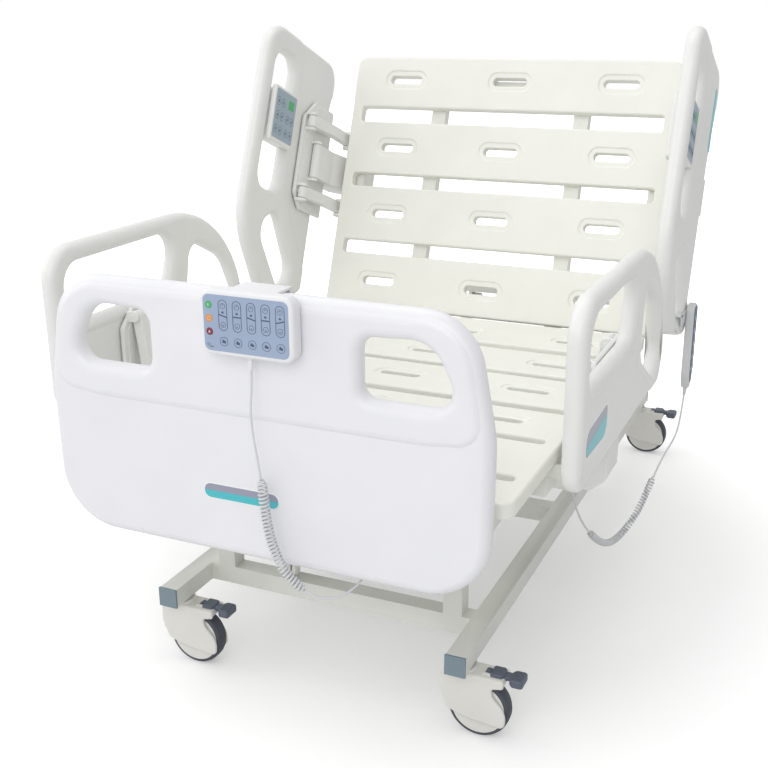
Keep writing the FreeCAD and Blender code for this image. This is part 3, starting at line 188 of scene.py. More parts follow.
def finish_node(name, colour, roughness, bump_scale, bump_strength, mottle, metallic=0.0, coat=0.0,
                bump_distance=0.0006, wear=0.0):
    """A moulded or painted finish: slight colour mottle, uneven gloss, fine bump and worn edges."""
    if name in bpy.data.materials:
        return bpy.data.materials[name]
    material = bpy.data.materials.new(name)
    material.use_nodes = True
    nodes, links = material.node_tree.nodes, material.node_tree.links
    shader = nodes["Principled BSDF"]
    shader.inputs["Base Color"].default_value = (*colour, 1)
    shader.inputs["Roughness"].default_value = roughness
    shader.inputs["Metallic"].default_value = metallic
    shader.inputs["Coat Weight"].default_value = coat
    shader.inputs["Coat Roughness"].default_value = 0.18
    place = nodes.new("ShaderNodeTexCoord")
    broad = nodes.new("ShaderNodeTexNoise")
    broad.inputs["Scale"].default_value = 9
    broad.inputs["Detail"].default_value = 5
    links.new(place.outputs["Object"], broad.inputs["Vector"])
    ramp = nodes.new("ShaderNodeValToRGB")
    low = [max(0.0, part * (1 - mottle)) for part in colour]
    high = [min(1.0, part * (1 + mottle * 0.5)) for part in colour]
    for element, position, value in zip(ramp.color_ramp.elements, (0.3, 0.7), (low, high)):
        element.position = position
        element.color = (*value, 1)
    links.new(broad.outputs["Fac"], ramp.inputs["Fac"])
    links.new(ramp.outputs["Color"], shader.inputs["Base Color"])
    gloss = map_range(nodes, 0.0, 1.0, roughness - 0.06, roughness + 0.08)
    links.new(broad.outputs["Fac"], gloss.inputs["Value"])
    links.new(gloss.outputs["Result"], shader.inputs["Roughness"])
    if wear:
        edge = nodes.new("ShaderNodeNewGeometry")
        worn = map_range(nodes, 0.53, 0.60, 0.0, wear)
        links.new(edge.outputs["Pointiness"], worn.inputs["Value"])
        blend = nodes.new("ShaderNodeMix")
        blend.data_type = "RGBA"
        blend.inputs["B"].default_value = (*WORN_GREY, 1)
        links.new(worn.outputs["Result"], blend.inputs["Factor"])
        links.new(ramp.outputs["Color"], blend.inputs["A"])
        links.new(blend.outputs["Result"], shader.inputs["Base Color"])
    grain = nodes.new("ShaderNodeTexNoise")
    grain.inputs["Scale"].default_value = bump_scale
    grain.inputs["Detail"].default_value = 4
    links.new(place.outputs["Object"], grain.inputs["Vector"])
    bump = nodes.new("ShaderNodeBump")
    bump.inputs["Strength"].default_value = bump_strength
    bump.inputs["Distance"].default_value = bump_distance
    links.new(grain.outputs["Fac"], bump.inputs["Height"])
    links.new(bump.outputs["Normal"], shader.inputs["Normal"])
    return material


def finishes():
    """Every finish on the bed by a maker's plain name."""
    look = bpy.context.scene.bed_finish
    return {
        "rail": finish_node("rail_moulding", look.rail_white, 0.34, 260, 0.10, 0.02, coat=0.15),
        "rim": finish_node("label_rim_film", (0.90, 0.90, 0.90), 0.3, 400, 0.04, 0.02, coat=0.3),
        "arm": finish_node("arm_moulding", look.rail_white, 0.42, 260, 0.14, 0.025),
        "board": finish_node("board_moulding", look.board_white, 0.32, 260, 0.08, 0.02, coat=0.2),
        "deck": finish_node("deck_moulding", look.deck_white, 0.46, 420, 0.28, 0.025, bump_distance=0.0004),
        "frame": finish_node(
            "frame_powder_coat", look.frame_paint, 0.36, 520, 0.22, 0.03, coat=0.1, wear=0.25),
        "cap": finish_node("end_cap_moulding", (0.20, 0.265, 0.31), 0.5, 380, 0.2, 0.05),
        "steel": finish_node("zinc_plate", (0.50, 0.51, 0.52), 0.32, 90, 0.15, 0.08, metallic=1.0),
        "hood": finish_node("castor_moulding", look.castor_cream, 0.36, 300, 0.1, 0.03, coat=0.15),
        "tyre": finish_node("castor_tyre", look.tyre_slate, 0.62, 240, 0.3, 0.12),
        "pedal": finish_node("pedal_moulding", look.pedal_slate, 0.45, 320, 0.25, 0.08),
        "actuator": finish_node("actuator_moulding", (0.40, 0.41, 0.42), 0.5, 320, 0.25, 0.05),
        "rod": finish_node("actuator_rod_steel", (0.62, 0.63, 0.65), 0.16, 60, 0.04, 0.04, metallic=1.0),
        "screen": finish_node("screen_membrane", (0.33, 0.42, 0.50), 0.38, 500, 0.08, 0.03),
        "box": finish_node("control_box_moulding", (0.08, 0.085, 0.095), 0.55, 320, 0.25, 0.06),
        "cord": finish_node("cord_sheath", (0.66, 0.67, 0.69), 0.5, 900, 0.15, 0.03),
        "handset": finish_node("handset_moulding", (0.66, 0.67, 0.68), 0.40, 300, 0.15, 0.03),
        "handset_face": finish_node("handset_face_moulding", (0.085, 0.115, 0.155), 0.42, 400, 0.12, 0.06),
        "nurse_frame": finish_node(
            "nurse_frame_moulding", (0.80, 0.80, 0.82), 0.32, 260, 0.08, 0.02, coat=0.2),
        "membrane": finish_node("nurse_membrane", (0.33, 0.41, 0.56), 0.4, 500, 0.08, 0.03),
        "teal": finish_node("label_teal_film", look.label_teal, 0.3, 400, 0.04, 0.03, coat=0.3),
        "lilac": finish_node("label_grey_film", look.label_grey, 0.3, 400, 0.04, 0.03, coat=0.3),
        "pale_key": finish_node("key_print_pale", (0.66, 0.70, 0.76), 0.35, 400, 0.05, 0.02),
        "dark_key": finish_node("key_print_dark", (0.075, 0.10, 0.17), 0.35, 400, 0.05, 0.04),
        "green_key": finish_node("key_print_green", (0.08, 0.42, 0.16), 0.35, 400, 0.05, 0.03),
        "orange_key": finish_node("key_print_orange", (0.80, 0.30, 0.04), 0.35, 400, 0.05, 0.03),
        "maroon_key": finish_node("key_print_maroon", (0.24, 0.03, 0.06), 0.35, 400, 0.05, 0.03),
    }


# Ways to shape

MILLIMETRE = 0.001


def add_loop(curve, corners):
    """Adds a closed spline round a polygon whose corners (x, y, radius), in millimetres, are rounded."""
    count = len(corners)
    places = [Vector(corner[:2]) for corner in corners]
    runs = [(places[(i + 1) % count] - place).length for i, place in enumerate(places)]
    ways = [(places[(i + 1) % count] - place).normalized() for i, place in enumerate(places)]
    halves = [(-ways[i - 1]).angle(ways[i]) / 2 for i in range(count)]
    reaches = [corner[2] / math.tan(half) for corner, half in zip(corners, halves)]
    shares = [min(1.0, 0.96 * runs[i] / (reaches[i] + reaches[(i + 1) % count])) for i in range(count)]
    spline = curve.splines.new("BEZIER")
    spline.bezier_points.add(2 * count - 1)
    spline.use_cyclic_u = True
    for i, place in enumerate(places):
        reach = reaches[i] * min(shares[i - 1], shares[i])
        handle = reach * math.tan(halves[i]) * 4 / 3 * math.tan((math.pi - 2 * halves[i]) / 4)
        first, second = spline.bezier_points[2 * i:2 * i + 2]
        for point, way, sign in ((first, -ways[i - 1], 1), (second, ways[i], -1)):
            spot = place + way * reach
            point.handle_left_type = point.handle_right_type = "FREE"
            point.co = (*(spot * MILLIMETRE), 0)
            run = runs[i - 1] if sign > 0 else runs[i]
            outward = min(handle, run * 0.01)
            left, right = (outward, -handle) if sign > 0 else (-handle, outward)
            point.handle_left = (*((spot + way * left) * MILLIMETRE), 0)
            point.handle_right = (*((spot + way * right) * MILLIMETRE), 0)


def curve_mesh(curve, matrix):
    """The curve as a clean mesh with outward faces, at its place."""
    holder = bpy.data.objects.new("drawing", curve)
    bpy.context.scene.collection.objects.link(holder)
    bpy.context.view_layer.update()
    mesh = bpy.data.meshes.new_from_object(holder.evaluated_get(bpy.context.evaluated_depsgraph_get()))
    bpy.data.objects.remove(holder)
    bpy.data.curves.remove(curve)
    bm = bmesh.new()
    bm.from_mesh(mesh)
    bpy.data.meshes.remove(mesh)
    bmesh.ops.remove_doubles(bm, verts=bm.verts, dist=1e-5)
    bmesh.ops.transform(bm, matrix=matrix, verts=bm.verts)
    bmesh.ops.recalc_face_normals(bm, faces=bm.faces)
    return bm


def slab(loops, thick, soft, matrix, middle=0.0, smooth=10):
    """A board with rounded edges, cut to outlines; middle is its middle plane's height in the drawing."""
    curve = bpy.data.curves.new("slab", "CURVE")
    curve.dimensions = "2D"
    curve.fill_mode = "BOTH"
    curve.resolution_u = smooth
    for loop in loops:
        add_loop(curve, loop)
    curve.extrude = max(thick / 2 - soft, 0.0)
    curve.bevel_depth = soft
    curve.bevel_resolution = 4
    curve.offset = -soft
    return curve_mesh(curve, matrix @ Matrix.Translation((0, 0, middle)))


def lip(loop, wide, high, matrix, middle, smooth=10):
    """A low rounded bead along an outline."""
    curve = bpy.data.curves.new("lip", "CURVE")
    curve.dimensions = "3D"
    curve.resolution_u = smooth
    add_loop(curve, loop)
    curve.bevel_depth = wide
    curve.bevel_resolution = 4
    flat = Matrix.Diagonal((1, 1, high / wide, 1))
    return curve_mesh(curve, matrix @ Matrix.Translation((0, 0, middle)) @ flat)


def grown(corners, amount):
    """The outline moved outwards by amount, or inwards where negative, corner by corner."""
    moved = []
    area = sum(a[0] * b[1] - b[0] * a[1] for a, b in zip(corners, corners[1:] + corners[:1]))
    turn = 1 if area > 0 else -1
    for i, (x, y, radius) in enumerate(corners):
        here = Vector((x, y))
        following = corners[(i + 1) % len(corners)]
        before = (here - Vector(corners[i - 1][:2])).normalized()
        after = (Vector(following[:2]) - here).normalized()
        out_before = Vector((before.y, -before.x)) * turn
        out_after = Vector((after.y, -after.x)) * turn
        push = (out_before + out_after) / (1 + out_before.dot(out_after))
        place = here + push * amount
        convex = before.cross(after) * turn > 0
        moved.append((place.x, place.y, max(radius + (amount if convex else -amount), 2)))
    return moved


def mirrored(corners):
    """The outline on the other side of the bed's middle."""
    return [(-x, y, radius) for x, y, radius in corners]


def oblong(x, y, long, wide):
    """Corners of a slot with round ends."""
    end = wide / 2 - 0.05
    return [
        (x - long / 2, y - wide / 2, end), (x + long / 2, y - wide / 2, end),
        (x + long / 2, y + wide / 2, end), (x - long / 2, y + wide / 2, end)]


def turned(profile, matrix, steps=48):
    """A profile of (radius, height) points spun once round its axis."""
    bm = bmesh.new()
    chain = [bm.verts.new((radius, 0, height)) for radius, height in profile]
    edges = [bm.edges.new(pair) for pair in zip(chain, chain[1:])]
    bmesh.ops.spin(
        bm, geom=chain + edges, cent=(0, 0, 0), axis=(0, 0, 1), angle=math.tau, steps=steps, use_merge=True)
    bmesh.ops.remove_doubles(bm, verts=bm.verts, dist=1e-5)
    bmesh.ops.transform(bm, matrix=matrix, verts=bm.verts)
    bmesh.ops.recalc_face_normals(bm, faces=bm.faces)
    return bm


def rounded_box(low, high, soft, segments=4):
    """A box with rounded edges."""
    bm = bmesh.new()
    bmesh.ops.create_cube(bm, size=1)
    size = [top - bottom for bottom, top in zip(low, high)]
    bmesh.ops.scale(bm, vec=size, verts=bm.verts)
    bmesh.ops.translate(bm, vec=[(top + bottom) / 2 for bottom, top in zip(low, high)], verts=bm.verts)
    bmesh.ops.bevel(
        bm, geom=bm.edges, offset=soft, offset_type="OFFSET", segments=segments, profile=0.5, affect="EDGES",
        material=-1)
    return bm


def piece(name, parts, material, body, replaces=(), angle=35):
    """Joins the shaped parts into one object that rides on a body."""
    whole = bpy.data.meshes.new(name)
    gathered = bmesh.new()
    for part in parts:
        mesh = bpy.data.meshes.new("part")
        part.to_mesh(mesh)
        part.free()
        gathered.from_mesh(mesh)
        bpy.data.meshes.remove(mesh)
    gathered.to_mesh(whole)
    gathered.free()
    for face in whole.polygons:
        face.use_smooth = True
    whole.set_sharp_from_angle(angle=math.radians(angle))
    obj = bpy.data.objects.new(name, whole)
    bpy.context.scene.collection.objects.link(obj)
    obj.data.materials.append(material)
    weighted = obj.modifiers.new("Weighted", "WEIGHTED_NORMAL")
    weighted.keep_sharp = True
    weighted.weight = 80
    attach(obj, body)
    if replaces:
        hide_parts(*replaces)
    return obj


def film(name, loop, thick, matrix, height, look, body, smooth=10):
    """A thin film in an outline, laid on a face of a body."""
    piece(name, [slab([loop], thick, FILM_SOFT, matrix, height, smooth)], look, body)


# Finishes of the CAD nodes that stay: the first pattern that a node's name fits is taken

NODE_FINISHES = (
    ("*_housing", "actuator"), ("*_rod", "rod"), ("tube_end_caps", "cap"), ("castor_stems", "steel"),
    ("footboard_hooks", "steel"), ("castor_hood*", "hood"), ("castor_wheel*", "tyre"),
    ("castor_pedal*", "pedal"), ("*cord*", "cord"), ("*_panel", "deck"), ("rail_screen*", "screen"),
    ("rail_arms*", "arm"), ("rail_wide*", "arm"), ("footboard", "board"), ("rail*", "rail"),
    ("nurse_control", "nurse_frame"), ("handset", "handset"), ("control_box", "box"), ("*", "frame"),
)


class BED_OT_finishes(bpy.types.Operator):
    """Gives the frames, actuators and small steel parts their finishes"""
    bl_idname = "bed.finishes"
    bl_label = "Frame finishes"

    def execute(self, context):
        looks = finishes()
        for name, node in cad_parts.items():
            key = next(key for pattern, key in NODE_FINISHES if fnmatchcase(name, pattern))
            node.data.materials.clear()
            node.data.materials.append(looks[key])
        return {"FINISHED"}


# Side rails

def rail_frame(end, side):
    """The matrix from a rail's side drawing to the bed, and the X of its middle plane."""
    middle = side * (RAIL_INNER + RAIL_THICK / 2)
    along = BACK_START if end == "head" else 0.0
    place = Matrix.Translation((0, along, DECK_TOP)) @ SIDE_VIEW
    return (RAISED @ place if end == "head" else place), middle


def cross_view(end, side):
    """The matrix from a drawing seen along the bed, from a rail's hinge side up, to the bed."""
    turn = RAISED if end == "head" else Matrix()
    start = BACK_START if end == "head" else 0.0
    return turn @ Matrix.Translation((0, start, DECK_TOP)) @ Matrix.Diagonal((side, 1, 1, 1)) @ FRONT_VIEW


class BED_OT_rails(bpy.types.Operator):
    """Moulded side rails: a thick tube round the openings and a flat web that lies back behind it"""
    bl_idname = "bed.rails"
    bl_label = "Side rails"

    def execute(self, context):
        sizes = context.scene.bed_sizes
        looks = finishes()
        for end, outline, tube, holes in (
                ("head", HEAD_OUTLINE, HEAD_TUBE, (HEAD_WINDOW, HEAD_GRIP)),
                ("foot", FOOT_OUTLINE, FOOT_TUBE, (FOOT_WINDOW, FOOT_GRIP))):
            for word, side in SIDES:
                matrix, middle = rail_frame(end, side)
                wider = [grown(hole, 5) for hole in holes]
                web = slab(
                    [grown(outline, -3), *wider], RAIL_THICK - 2 * sizes.web_depth, 0.012, matrix, middle)
                ring = slab([tube, *holes], RAIL_THICK, sizes.rail_soft, matrix, middle, 14)
                piece(
                    f"moulded_rail_{end}_{word}", [web, ring], looks["rail"], f"rail_{end}_{word}",
                    [f"rail_shell_{end}_{word}"])
        return {"FINISHED"}


class BED_OT_rail_mounts(bpy.types.Operator):
    """The rails' inner plates with knuckles and pins, and the arms with soft edges"""
    bl_idname = "bed.rail_mounts"
    bl_label = "Rail mounts and arms"

    def execute(self, context):
        looks = finishes()
        for end, middle in RAIL_MIDDLES:
            for word, side in SIDES:
                self.mount(end, word, side, middle, looks)
                across = cross_view(end, side)
                pair = [self.arm(NARROW_ARM, NARROW, middle + step * ARM_STEP, across) for step in (-1, 1)]
                arms = f"rail_arms_{end}_{word}"
                piece(f"moulded_arms_{end}_{word}", pair, looks["arm"], arms, [arms])
                wide_arm = f"rail_wide_arm_{end}_{word}"
                piece(
                    f"moulded_wide_arm_{end}_{word}", [self.arm(WIDE_ARM, WIDE, middle, across)],
                    looks["arm"], wide_arm, [wide_arm])
        return {"FINISHED"}

    def arm(self, outline, wide, along, across):
        """An arm of the given width, whose middle is that far along its section."""
        return slab([outline], wide / 1000, 0.0028, across, -along / 1000, 12)

    def mount(self, end, word, side, middle, looks):
        """A plate with cut corners, three pairs of knuckles and their pins."""
        matrix, _ = rail_frame(end, side)
        near, far = middle - 140, middle + 160
        plate = [
            (near, 8, 6), (far, 8, 6), (far, 118, 10), (far - 52, 172, 10), (near + 40, 172, 10),
            (near, 132, 10)]
        parts = [slab([plate], 0.010, 0.0030, matrix, side * (RAIL_INNER - 0.005))]
        raised = [
            (near + 14, 20, 4), (far - 14, 20, 4), (far - 14, 112, 8), (far - 58, 158, 8),
            (near + 46, 158, 8), (near + 14, 126, 8)]
        parts.append(slab([raised], 0.0024, 0.0009, matrix, side * (RAIL_INNER - 0.0106)))
        across = cross_view(end, side)
        for step, wide, up in ((-1, NARROW, 155), (0, WIDE, 105), (1, NARROW, 155)):
            centre = middle + step * ARM_STEP
            knuckle = [(476, up - 12, 11.5), (505, up - 12, 1), (505, up + 12, 1), (476, up + 12, 11.5)]
            for edge in (-1, 1):
                place = centre + edge * (wide / 2 + 5)
                parts.append(slab([knuckle], 0.008, 0.0016, across, -place / 1000))
            pin = [(482, up - 6, 5.8), (494, up - 6, 5.8), (494, up + 6, 5.8), (482, up + 6, 5.8)]
            parts.append(slab([pin], (wide + 19) / 1000, 0.0015, across, -centre / 1000, 8))
        piece(
            f"moulded_mount_{end}_{word}", parts, looks["rail"], f"rail_{end}_{word}",
            [f"rail_plate_{end}_{word}"])


class BED_OT_rail_labels(bpy.types.Operator):
    """Coloured labels on the rails and the key fields of the head rails' screens"""
    bl_idname = "bed.rail_labels"
    bl_label = "Rail labels and screens"

    def execute(self, context):
        looks = finishes()
        for word, side in SIDES:
            matrix, _ = rail_frame("foot", side)
            outer = side * (RAIL_INNER + RAIL_THICK - context.scene.bed_sizes.web_depth)
            leaf = [(-795, 60, 9), (-797, 106, 24), (-650, 113, 9), (-646, 54, 28)]
            low_leaf = [(-793, 62, 8), (-791, 80, 6), (-650, 94, 3), (-648, 56, 26)]
            for (name, thick, look), loop in zip(LABEL_LAYERS, (grown(leaf, 3), leaf, low_leaf)):
                film(
                    f"foot_rail_label_{name}_{word}", loop, thick, matrix, outer, looks[look],
                    f"rail_foot_{word}")
            matrix, _ = rail_frame("head", side)
            strip = [(460, 62, 12), (615, 58, 12), (615, 28, 8), (460, 32, 8)]
            film(f"head_rail_label_{word}", strip, 0.0012, matrix, outer, looks["teal"], f"rail_head_{word}")
            self.screen(matrix, word, side, looks)
        return {"FINISHED"}

    def screen(self, matrix, word, side, looks):
        """The screen box in the window: pale case, blue-grey faces, key outlines and a green patch."""
        body = f"rail_head_{word}"
        inner_face = side * (RAIL_INNER - 0.0137)
        outer_face = side * (RAIL_INNER + 0.0295)
        case = slab(
            [[(366, 231, 7), (510, 231, 7), (510, 352, 7), (366, 352, 7)]], 0.0135, 0.004, matrix,
            side * (RAIL_INNER - 0.007))
        block = slab(
            [[(370, 240, 8), (506, 240, 8), (506, 338, 8), (370, 338, 8)]], 0.030, 0.004, matrix,
            side * (RAIL_INNER + 0.0145))
        piece(f"screen_case_{word}", [case, block], looks["rail"], body, [f"rail_screen_head_{word}"])
        for face, height, low, high in (("inner", inner_face, 238, 345), ("outer", outer_face, 247, 331)):
            field = [(377, low, 5), (503, low, 5), (503, high, 5), (377, high, 5)]
            film(f"screen_face_{face}_{word}", field, 0.0012, matrix, height, looks["screen"], body, 6)
            keys = []
            pitch = (high - low - 12) / 4
            for along, columns in ((400, (0, 1, 2, 3)), (436, (0, 1, 2, 3)), (472, (2, 3))):
                for column in columns:
                    up = low + 6 + pitch * (column + 0.5 + 0.12 * (1 if column > 1 else -1))
                    keys.append(lip(oblong(along, up, 21, pitch * 0.62), 0.0008, 0.0009, matrix, height, 4))
                    keys.append(slab([oblong(along, up, 7, 4)], 0.0022, FILM_SOFT, matrix, height, 3))
            piece(f"screen_keys_{face}_{word}", keys, looks["dark_key"], body)
            patch = [(464, low + 12, 3), (488, low + 12, 3), (488, low + 40, 3), (464, low + 40, 3)]
            film(f"screen_patch_{face}_{word}", patch, 0.0020, matrix, height, looks["green_key"], body, 6)


# Footboard

class BED_OT_footboard(bpy.types.Operator):
    """Moulded footboard with soft edges, handholes, a crease and a bare label"""
    bl_idname = "bed.footboard"
    bl_label = "Footboard"

    def execute(self, context):
        sizes = context.scene.bed_sizes
        looks = finishes()
        grips = [BOARD_GRIP, mirrored(BOARD_GRIP)]
        # The lower part lies back under the crease, with wider holes that leave the upper part's edges free.
        # Its back lies a little in front of the upper part's, so that no two faces coincide.
        deep = 0.0036
        step = 0.0005
        middle = -(BOARD_FRONT + BOARD_THICK / 2)
        lower = slab(
            [BOARD_OUTLINE, *(grown(grip, 13) for grip in grips)], BOARD_THICK - deep - step,
            sizes.board_soft - 0.001, FRONT_VIEW, middle + (step - deep) / 2, 14)
        upper = slab([BOARD_UPPER, *grips], BOARD_THICK, sizes.board_soft, FRONT_VIEW, middle, 14)
        piece("moulded_footboard", [lower, upper], looks["board"], "footboard", ["footboard"])
        face = -BOARD_FRONT - deep
        pill = [(-106, 540, 15), (49, 540, 15), (49, 509, 15), (-106, 509, 15)]
        grey = grown(pill, -2)
        teal = [(-104, 525, 1), (47, 525, 1), (47, 511, 13), (-104, 511, 13)]
        for (name, thick, look), loop in zip(LABEL_LAYERS, (pill, grey, teal)):
            film(f"board_label_{name}", loop, thick, FRONT_VIEW, face, looks[look], "footboard")
        return {"FINISHED"}


# Deck panels

class BED_OT_deck(bpy.types.Operator):
    """Moulded deck panels with soft edges, long gaps and slots in shallow recesses"""
    bl_idname = "bed.deck"
    bl_label = "Deck panels"

    def execute(self, context):
        looks = finishes()
        soft = context.scene.bed_sizes.panel_soft
        start = BACK_START / MILLIMETRE
        # Name, ends, rows of slots, gaps (middle, width), corners' radius at each end, and body
        panels = (
            ("back", start, start + 700, [start + s for s in (73, 261, 447, 637)],
             [(start + 165.5, 37), (start + 353.5, 37), (start + 538.5, 42)], 8, 25, "backrest"),
            ("seat", -5, 192, [80], [], 8, 8, "platform"),
            ("thigh", -405, -40, [-120, -310], [(-215, 26)], 8, 8, "thigh"),
            ("leg", -897, -435, [-500, -690], [(-595, 26), (-785, 26)], 25, 8, "leg"),
        )
        for name, low, high, rows, gaps, round_low, round_high, body in panels:
            outline = [
                (-450, low, round_low), (450, low, round_low), (450, high, round_high),
                (-450, high, round_high)]
            places = [(column, row) for row in rows for column in (-300, 0, 300)]
            slots = [oblong(*place, 93, 22) for place in places]
            recesses = [oblong(*place, 116, 47) for place in places]
            gap_loops = [
                [(x, y + up * wide / 2, 8) for x, up in ((-420, -1), (420, -1), (420, 1), (-420, 1))]
                for y, wide in gaps]
            turn = RAISED if body == "backrest" else Matrix()
            lower = slab(
                [outline, *gap_loops, *slots], PANEL_LOWER, 0.003, turn,
                DECK_TOP - PANEL_DEEP + PANEL_LOWER / 2)
            upper = slab(
                [outline, *gap_loops, *recesses], PANEL_UPPER, soft, turn, DECK_TOP - PANEL_UPPER / 2)
            piece(f"moulded_{name}_panel", [lower, upper], looks["deck"], body, [f"{name}_panel"])
        return {"FINISHED"}


# Castors

class BED_OT_castors(bpy.types.Operator):
    """Castor hoods, wheels with rubber tyres, and rocking brake pedals"""
    bl_idname = "bed.castors"
    bl_label = "Castors"

    def execute(self, context):
        looks = finishes()
        for name, x, y in CASTORS:
            self.hood(name, x, y, looks)
            self.wheel(name, x, y, looks)
            self.pedal(name, x, y, looks)
        return {"FINISHED"}

    def hood(self, name, x, y, looks):
        side_on = Matrix.Translation((x, y, 0)) @ FRONT_VIEW
        # Each cheek covers the wheel's upper part and is cut back behind, where the tyre shows
        cheek = [
            (-40, 139, 10), (-42, 92, 34), (-26, 52, 26), (20, 40, 60), (90, 33, 12), (93, 68, 40),
            (64, 100, 20), (63, 116, 5), (86, 121, 6), (86, 139, 6)]
        parts = [slab([cheek], 0.0078, 0.0036, side_on, face * 0.0216) for face in (-1, 1)]
        # The crown joins the cheeks over the wheel and in front of it
        crown = [
            (-40, 139.5, 11), (-42.5, 90, 34), (-31, 60, 5), (-29.5, 84, 40), (-14, 108, 40), (12, 124, 40),
            (42, 128, 40), (70, 123.5, 8), (86, 123, 6), (86, 139.5, 6)]
        parts.append(slab([crown], 0.0505, 0.006, side_on))
        neck = [
            (0.0, 0.136), (0.026, 0.136), (0.0272, 0.1385), (0.0275, 0.1415), (0.0262, 0.1445),
            (0.022, 0.146), (0.0, 0.146)]
        parts.append(turned(neck, Matrix.Translation((x, y, 0))))
        # Two ears hold the pedal's hub
        for ear in (y - 0.012, y + 0.012):
            parts.append(rounded_box(
                (x + 0.040, ear - 0.003, 0.130), (x + 0.058, ear + 0.003, 0.1425), 0.0012))
        piece(f"moulded_hood_{name}", parts, looks["hood"], f"castor_{name}", [f"castor_hood_{name}"])

    def wheel(self, name, x, y, looks):
        spun = Matrix.Translation((x + TRAIL, y, WHEEL_RADIUS)) @ Matrix.Rotation(math.pi / 2, 4, "X")
        tread = [
            (0.050, -0.0155), (0.0560, -0.0158), (0.0602, -0.0138), (0.0620, -0.009), (0.0625, 0.0),
            (0.0620, 0.009), (0.0602, 0.0138), (0.0560, 0.0158), (0.050, 0.0155), (0.050, -0.0155)]
        piece(
            f"rolled_tyre_{name}", [turned(tread, spun, 72)], looks["tyre"], f"wheel_{name}",
            [f"castor_wheel_{name}"])
        disc = [
            (0.0, -0.0166), (0.010, -0.0166), (0.012, -0.0160), (0.049, -0.0166), (0.0535, -0.0160),
            (0.0545, -0.0145), (0.0545, 0.0145), (0.0535, 0.0160), (0.049, 0.0166), (0.012, 0.0160),
            (0.010, 0.0166), (0.0, 0.0166)]
        piece(f"wheel_disc_{name}", [turned(disc, spun, 48)], looks["hood"], f"wheel_{name}")

    def pedal(self, name, x, y, looks):
        # The far lobe stays below the base tube, under which the pedal turns with the castor
        top_view = Matrix.Translation((x, y, 0.138))
        near_lobe = [(56, 17, 5), (80, 17, 6), (84, 9, 4), (84, -9, 4), (80, -17, 6), (56, -17, 5)]
        waist = [(76, 10, 3), (100, 10, 3), (100, -10, 3), (76, -10, 3)]
        far_lobe = [(94, 12, 4), (100, 20, 6), (122, 20, 6), (122, -20, 6), (100, -20, 6), (94, -12, 4)]
        parts = [
            slab([near_lobe], 0.016, 0.004, top_view, 0.0005), slab([waist], 0.010, 0.003, top_view, 0.0),
            slab([far_lobe], 0.018, 0.005, top_view, -0.0025)]
        hub = [
            (0.0, -0.0085), (0.0062, -0.0085), (0.007, -0.0075), (0.007, 0.0075), (0.0062, 0.0085),
            (0.0, 0.0085)]
        across = Matrix.Translation((x + 0.050, y, 0.137)) @ Matrix.Rotation(math.pi / 2, 4, "X")
        parts.append(turned(hub, across, 24))
        for rib in range(3):
            along = x + 0.102 + 0.006 * rib
            parts.append(rounded_box(
                (along, y - 0.014, 0.1435), (along + 0.0025, y + 0.014, 0.1455), 0.0005, 2))
        piece(
            f"rocking_pedal_{name}", parts, looks["pedal"], f"pedal_{name}", [f"castor_pedal_{name}"])


# Attendant's control on the footboard

